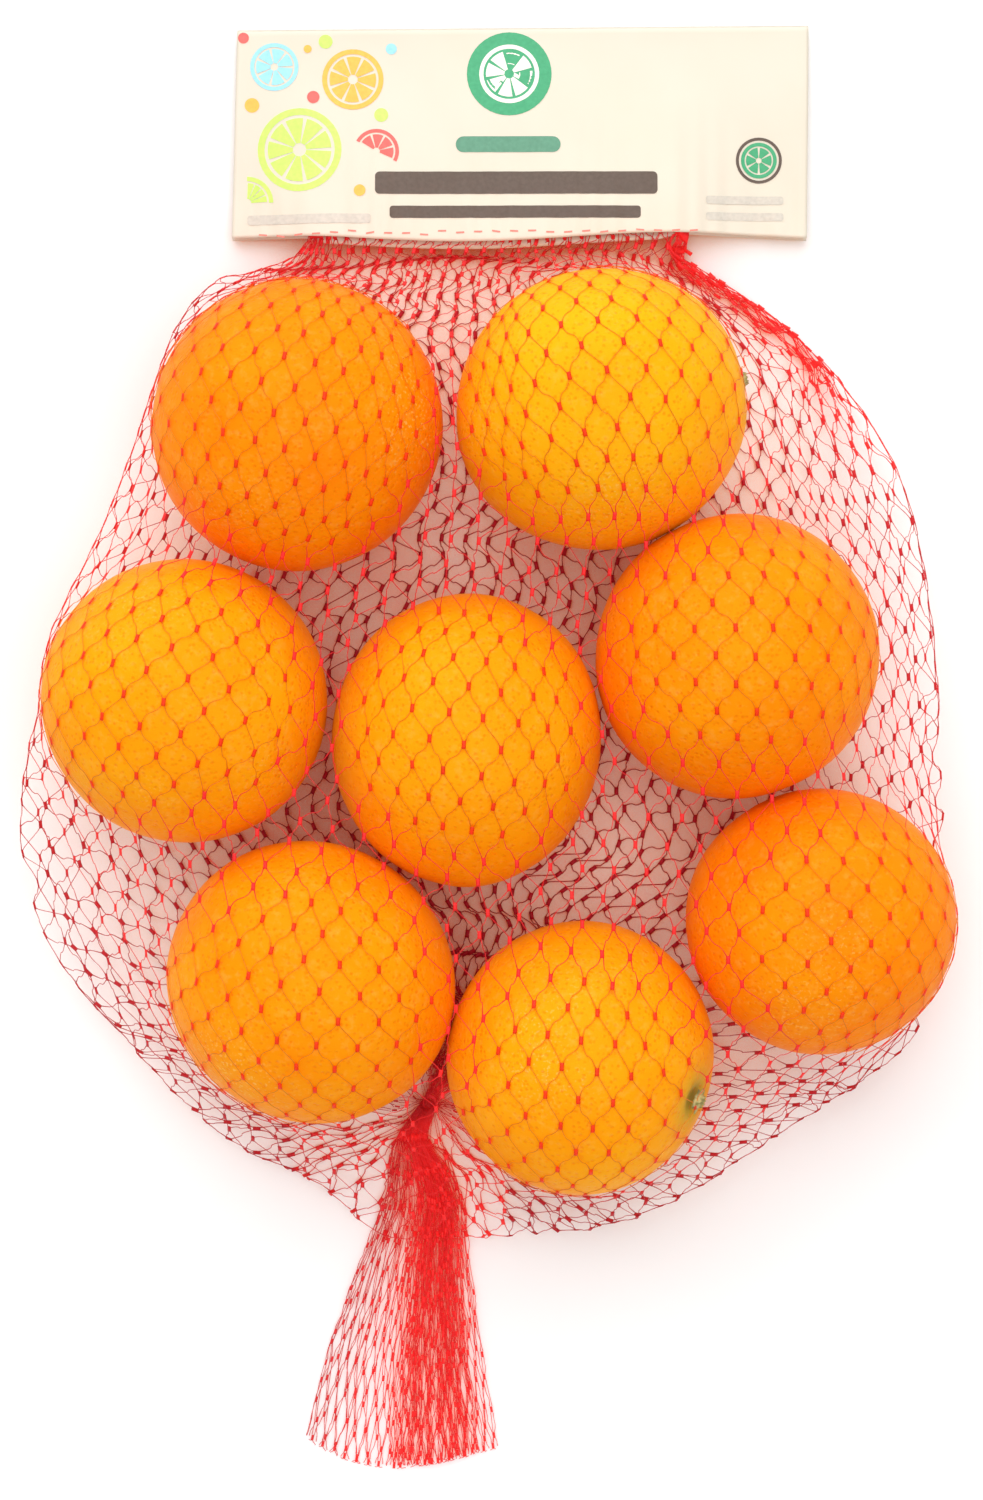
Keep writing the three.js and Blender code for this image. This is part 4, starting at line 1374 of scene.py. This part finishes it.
def sector(x, y, inner, outer, start=0.0, end=360.0, tilt=0.0):
    """A ring, a disc or a slice of one in plan, in degrees, tilted if asked."""
    steps = max(4, int((end - start) / DISC_DEGREES))
    angle = np.radians(np.linspace(start, end, steps + 1))
    radius = np.linspace(outer, inner, DISC_RINGS)[:, None]
    a, b = radius * np.cos(angle), radius * np.sin(angle)
    t = math.radians(tilt)
    points = np.stack([x + a * math.cos(t) - b * math.sin(t), y + a * math.sin(t) + b * math.cos(t)], -1)
    return points.reshape(-1, 2), sheet_quads(DISC_RINGS, steps + 1)


def citrus(x, y, radius, ink, pips=8, rim=0.16, start=0.0, turn=360.0, tilt=0.0):
    """A cut citrus fruit: a rim and its segments."""
    yield sector(x, y, radius * (1 - rim), radius, start, start + turn, tilt=tilt) + (ink,)
    wide = turn / pips
    for number in range(pips):
        low, high = start + (number + GAP) * wide, start + (number + 1 - GAP) * wide
        yield sector(x, y, radius * CORE, radius * (FLESH - rim), low, high, tilt=tilt) + (ink,)


def print_shapes():
    """The label's plain print: points, faces and ink of every shape."""
    yield from citrus(-50.5, 164.0, 11.5, "lime", 9)
    yield from citrus(-36.0, 183.5, 8.4, "orange", 8, start=20)
    yield from citrus(-57.5, 187.0, 6.6, "blue", 7)
    yield from citrus(-29.5, 163.5, 6.2, "red", 4, start=0, turn=180, tilt=-28)
    yield from citrus(-64.9, 149.6, 7.2, "lime", 4, start=0, turn=90)
    for x, y, radius, ink in (
        (-43.5, 194.0, 1.9, "lime"), (-46.8, 178.6, 1.7, "red"), (-63.6, 176.4, 2.0, "orange"),
        (-28.2, 173.6, 1.9, "lime"), (-34.0, 152.6, 1.6, "orange"), (-66.0, 195.0, 1.5, "red"),
        (-25.5, 192.0, 1.5, "blue"), (-48.4, 192.0, 1.1, "orange"),
    ):
        yield sector(x, y, 0.0, radius) + (ink,)
    yield sector(6.8, 185.0, 0.0, 11.6) + ("green",)
    yield from citrus(6.8, 185.0, 8.2, "cream", 8, rim=0.14, start=12)
    yield band(-7.8, 20.8, 163.2, 167.6, ends=2.1) + ("script",)
    yield band(-29.8, 47.2, 151.6, 157.8, ends=1.2) + ("brown",)
    yield band(-25.8, 42.6, 144.9, 148.3, ends=0.9) + ("brown",)
    yield band(-64.8, -31.0, 143.5, 146.1, ends=0.7) + ("grey",)
    yield band(60.5, 81.8, 149.2, 151.4, ends=0.7) + ("grey",)
    yield band(60.5, 81.8, 144.7, 146.9, ends=0.7) + ("grey",)
    yield sector(75.1, 161.3, 5.5, 6.3) + ("brown",)
    yield from citrus(75.1, 161.3, 4.9, "green", 6, rim=0.2, start=30)


class OBJECT_OT_add_stage(bpy.types.Operator):
    """Adds the pale floor with painted warm shade between the fruit, the soft lights and the camera over the
    bag
    """

    bl_idname = "netbag.add_stage"
    bl_label = "Stage"

    def execute(self, context):
        colours = context.scene.netbag_colours
        bpy.ops.mesh.primitive_plane_add(size=FLOOR_WIDE, location=(0, 0, -FLOOR_BELOW))
        floor = context.active_object
        floor.name = "floor"
        material, tree, shader = new_material("floor")
        # Painted shade: the floor turns warm orange-brown where the fruit shuts it in, for the shade and the
        # orange light bounced off the fruit.
        near = add_node(tree, "ShaderNodeAmbientOcclusion", Distance=PAINTED_SHADE_REACH)
        near.samples = PAINTED_SHADE_SAMPLES
        painted_shades = FLOOR_PAINTED_SHADE + ((UNSHADED_FROM, tuple(colours.floor)),)
        tree.links.new(ramp(tree, near.outputs["AO"], painted_shades), shader.inputs["Base Color"])
        shader.inputs["Roughness"].default_value = 0.9
        floor.data.materials.append(material)
        world = context.scene.world or bpy.data.worlds.new("studio")
        context.scene.world = world
        world.use_nodes = True
        back = world.node_tree.nodes["Background"]
        back.inputs["Color"].default_value = (1.0, 1.0, 1.0, 1.0)
        back.inputs["Strength"].default_value = SKY
        for lamp in LAMPS:
            self.add_lamp(context, *lamp)
        camera = bpy.data.cameras.new("camera")
        camera.sensor_fit = "VERTICAL"
        camera.sensor_height = SENSOR
        camera.lens = SENSOR * CAMERA_HEIGHT / PICTURE_HEIGHT
        eye = bpy.data.objects.new("camera", camera)
        eye.location = (CAMERA_X + PLAN_X * MM, PLAN_Y * MM, CAMERA_HEIGHT)
        context.collection.objects.link(eye)
        context.scene.camera = eye
        context.scene.view_settings.view_transform = "Standard"
        return {"FINISHED"}

    def add_lamp(self, context, name, place, spread, strength):
        """A wide, soft lamp that shines from a place towards the bag."""
        lamp = bpy.data.lights.new(name, "SUN")
        lamp.angle = math.radians(spread)
        lamp.energy = strength
        holder = bpy.data.objects.new(name, lamp)
        holder.location = place
        holder.rotation_euler = (-Vector(place)).to_track_quat("-Z", "Y").to_euler()
        context.collection.objects.link(holder)


class VIEW3D_PT_netbag(bpy.types.Panel):
    bl_label = "Net of oranges"
    bl_idname = "VIEW3D_PT_netbag"
    bl_space_type = "VIEW_3D"
    bl_region_type = "UI"
    bl_category = "Net of oranges"

    def draw(self, context):
        layout = self.layout
        for operator in OPERATORS:
            layout.operator(operator.bl_idname)
        for group in (context.scene.netbag_sizes, context.scene.netbag_colours):
            box = layout.box()
            for name in group.__annotations__:
                box.prop(group, name)


OPERATORS = (
    OBJECT_OT_add_stage,
    OBJECT_OT_add_fruit,
    OBJECT_OT_add_stems,
    OBJECT_OT_add_netting,
    OBJECT_OT_add_label,
)
CLASSES = (NetSizes, Colours) + OPERATORS + (VIEW3D_PT_netbag,)


def register():
    for cls in CLASSES:
        bpy.utils.register_class(cls)
    bpy.types.Scene.netbag_sizes = bpy.props.PointerProperty(type=NetSizes)
    bpy.types.Scene.netbag_colours = bpy.props.PointerProperty(type=Colours)


def unregister():
    del bpy.types.Scene.netbag_colours
    del bpy.types.Scene.netbag_sizes
    for cls in reversed(CLASSES):
        bpy.utils.unregister_class(cls)


def main():
    register()
    bpy.ops.netbag.add_stage()
    bpy.ops.netbag.add_fruit()
    bpy.ops.netbag.add_stems()
    bpy.ops.netbag.add_netting()
    bpy.ops.netbag.add_label()


if __name__ == "__main__":
    main()
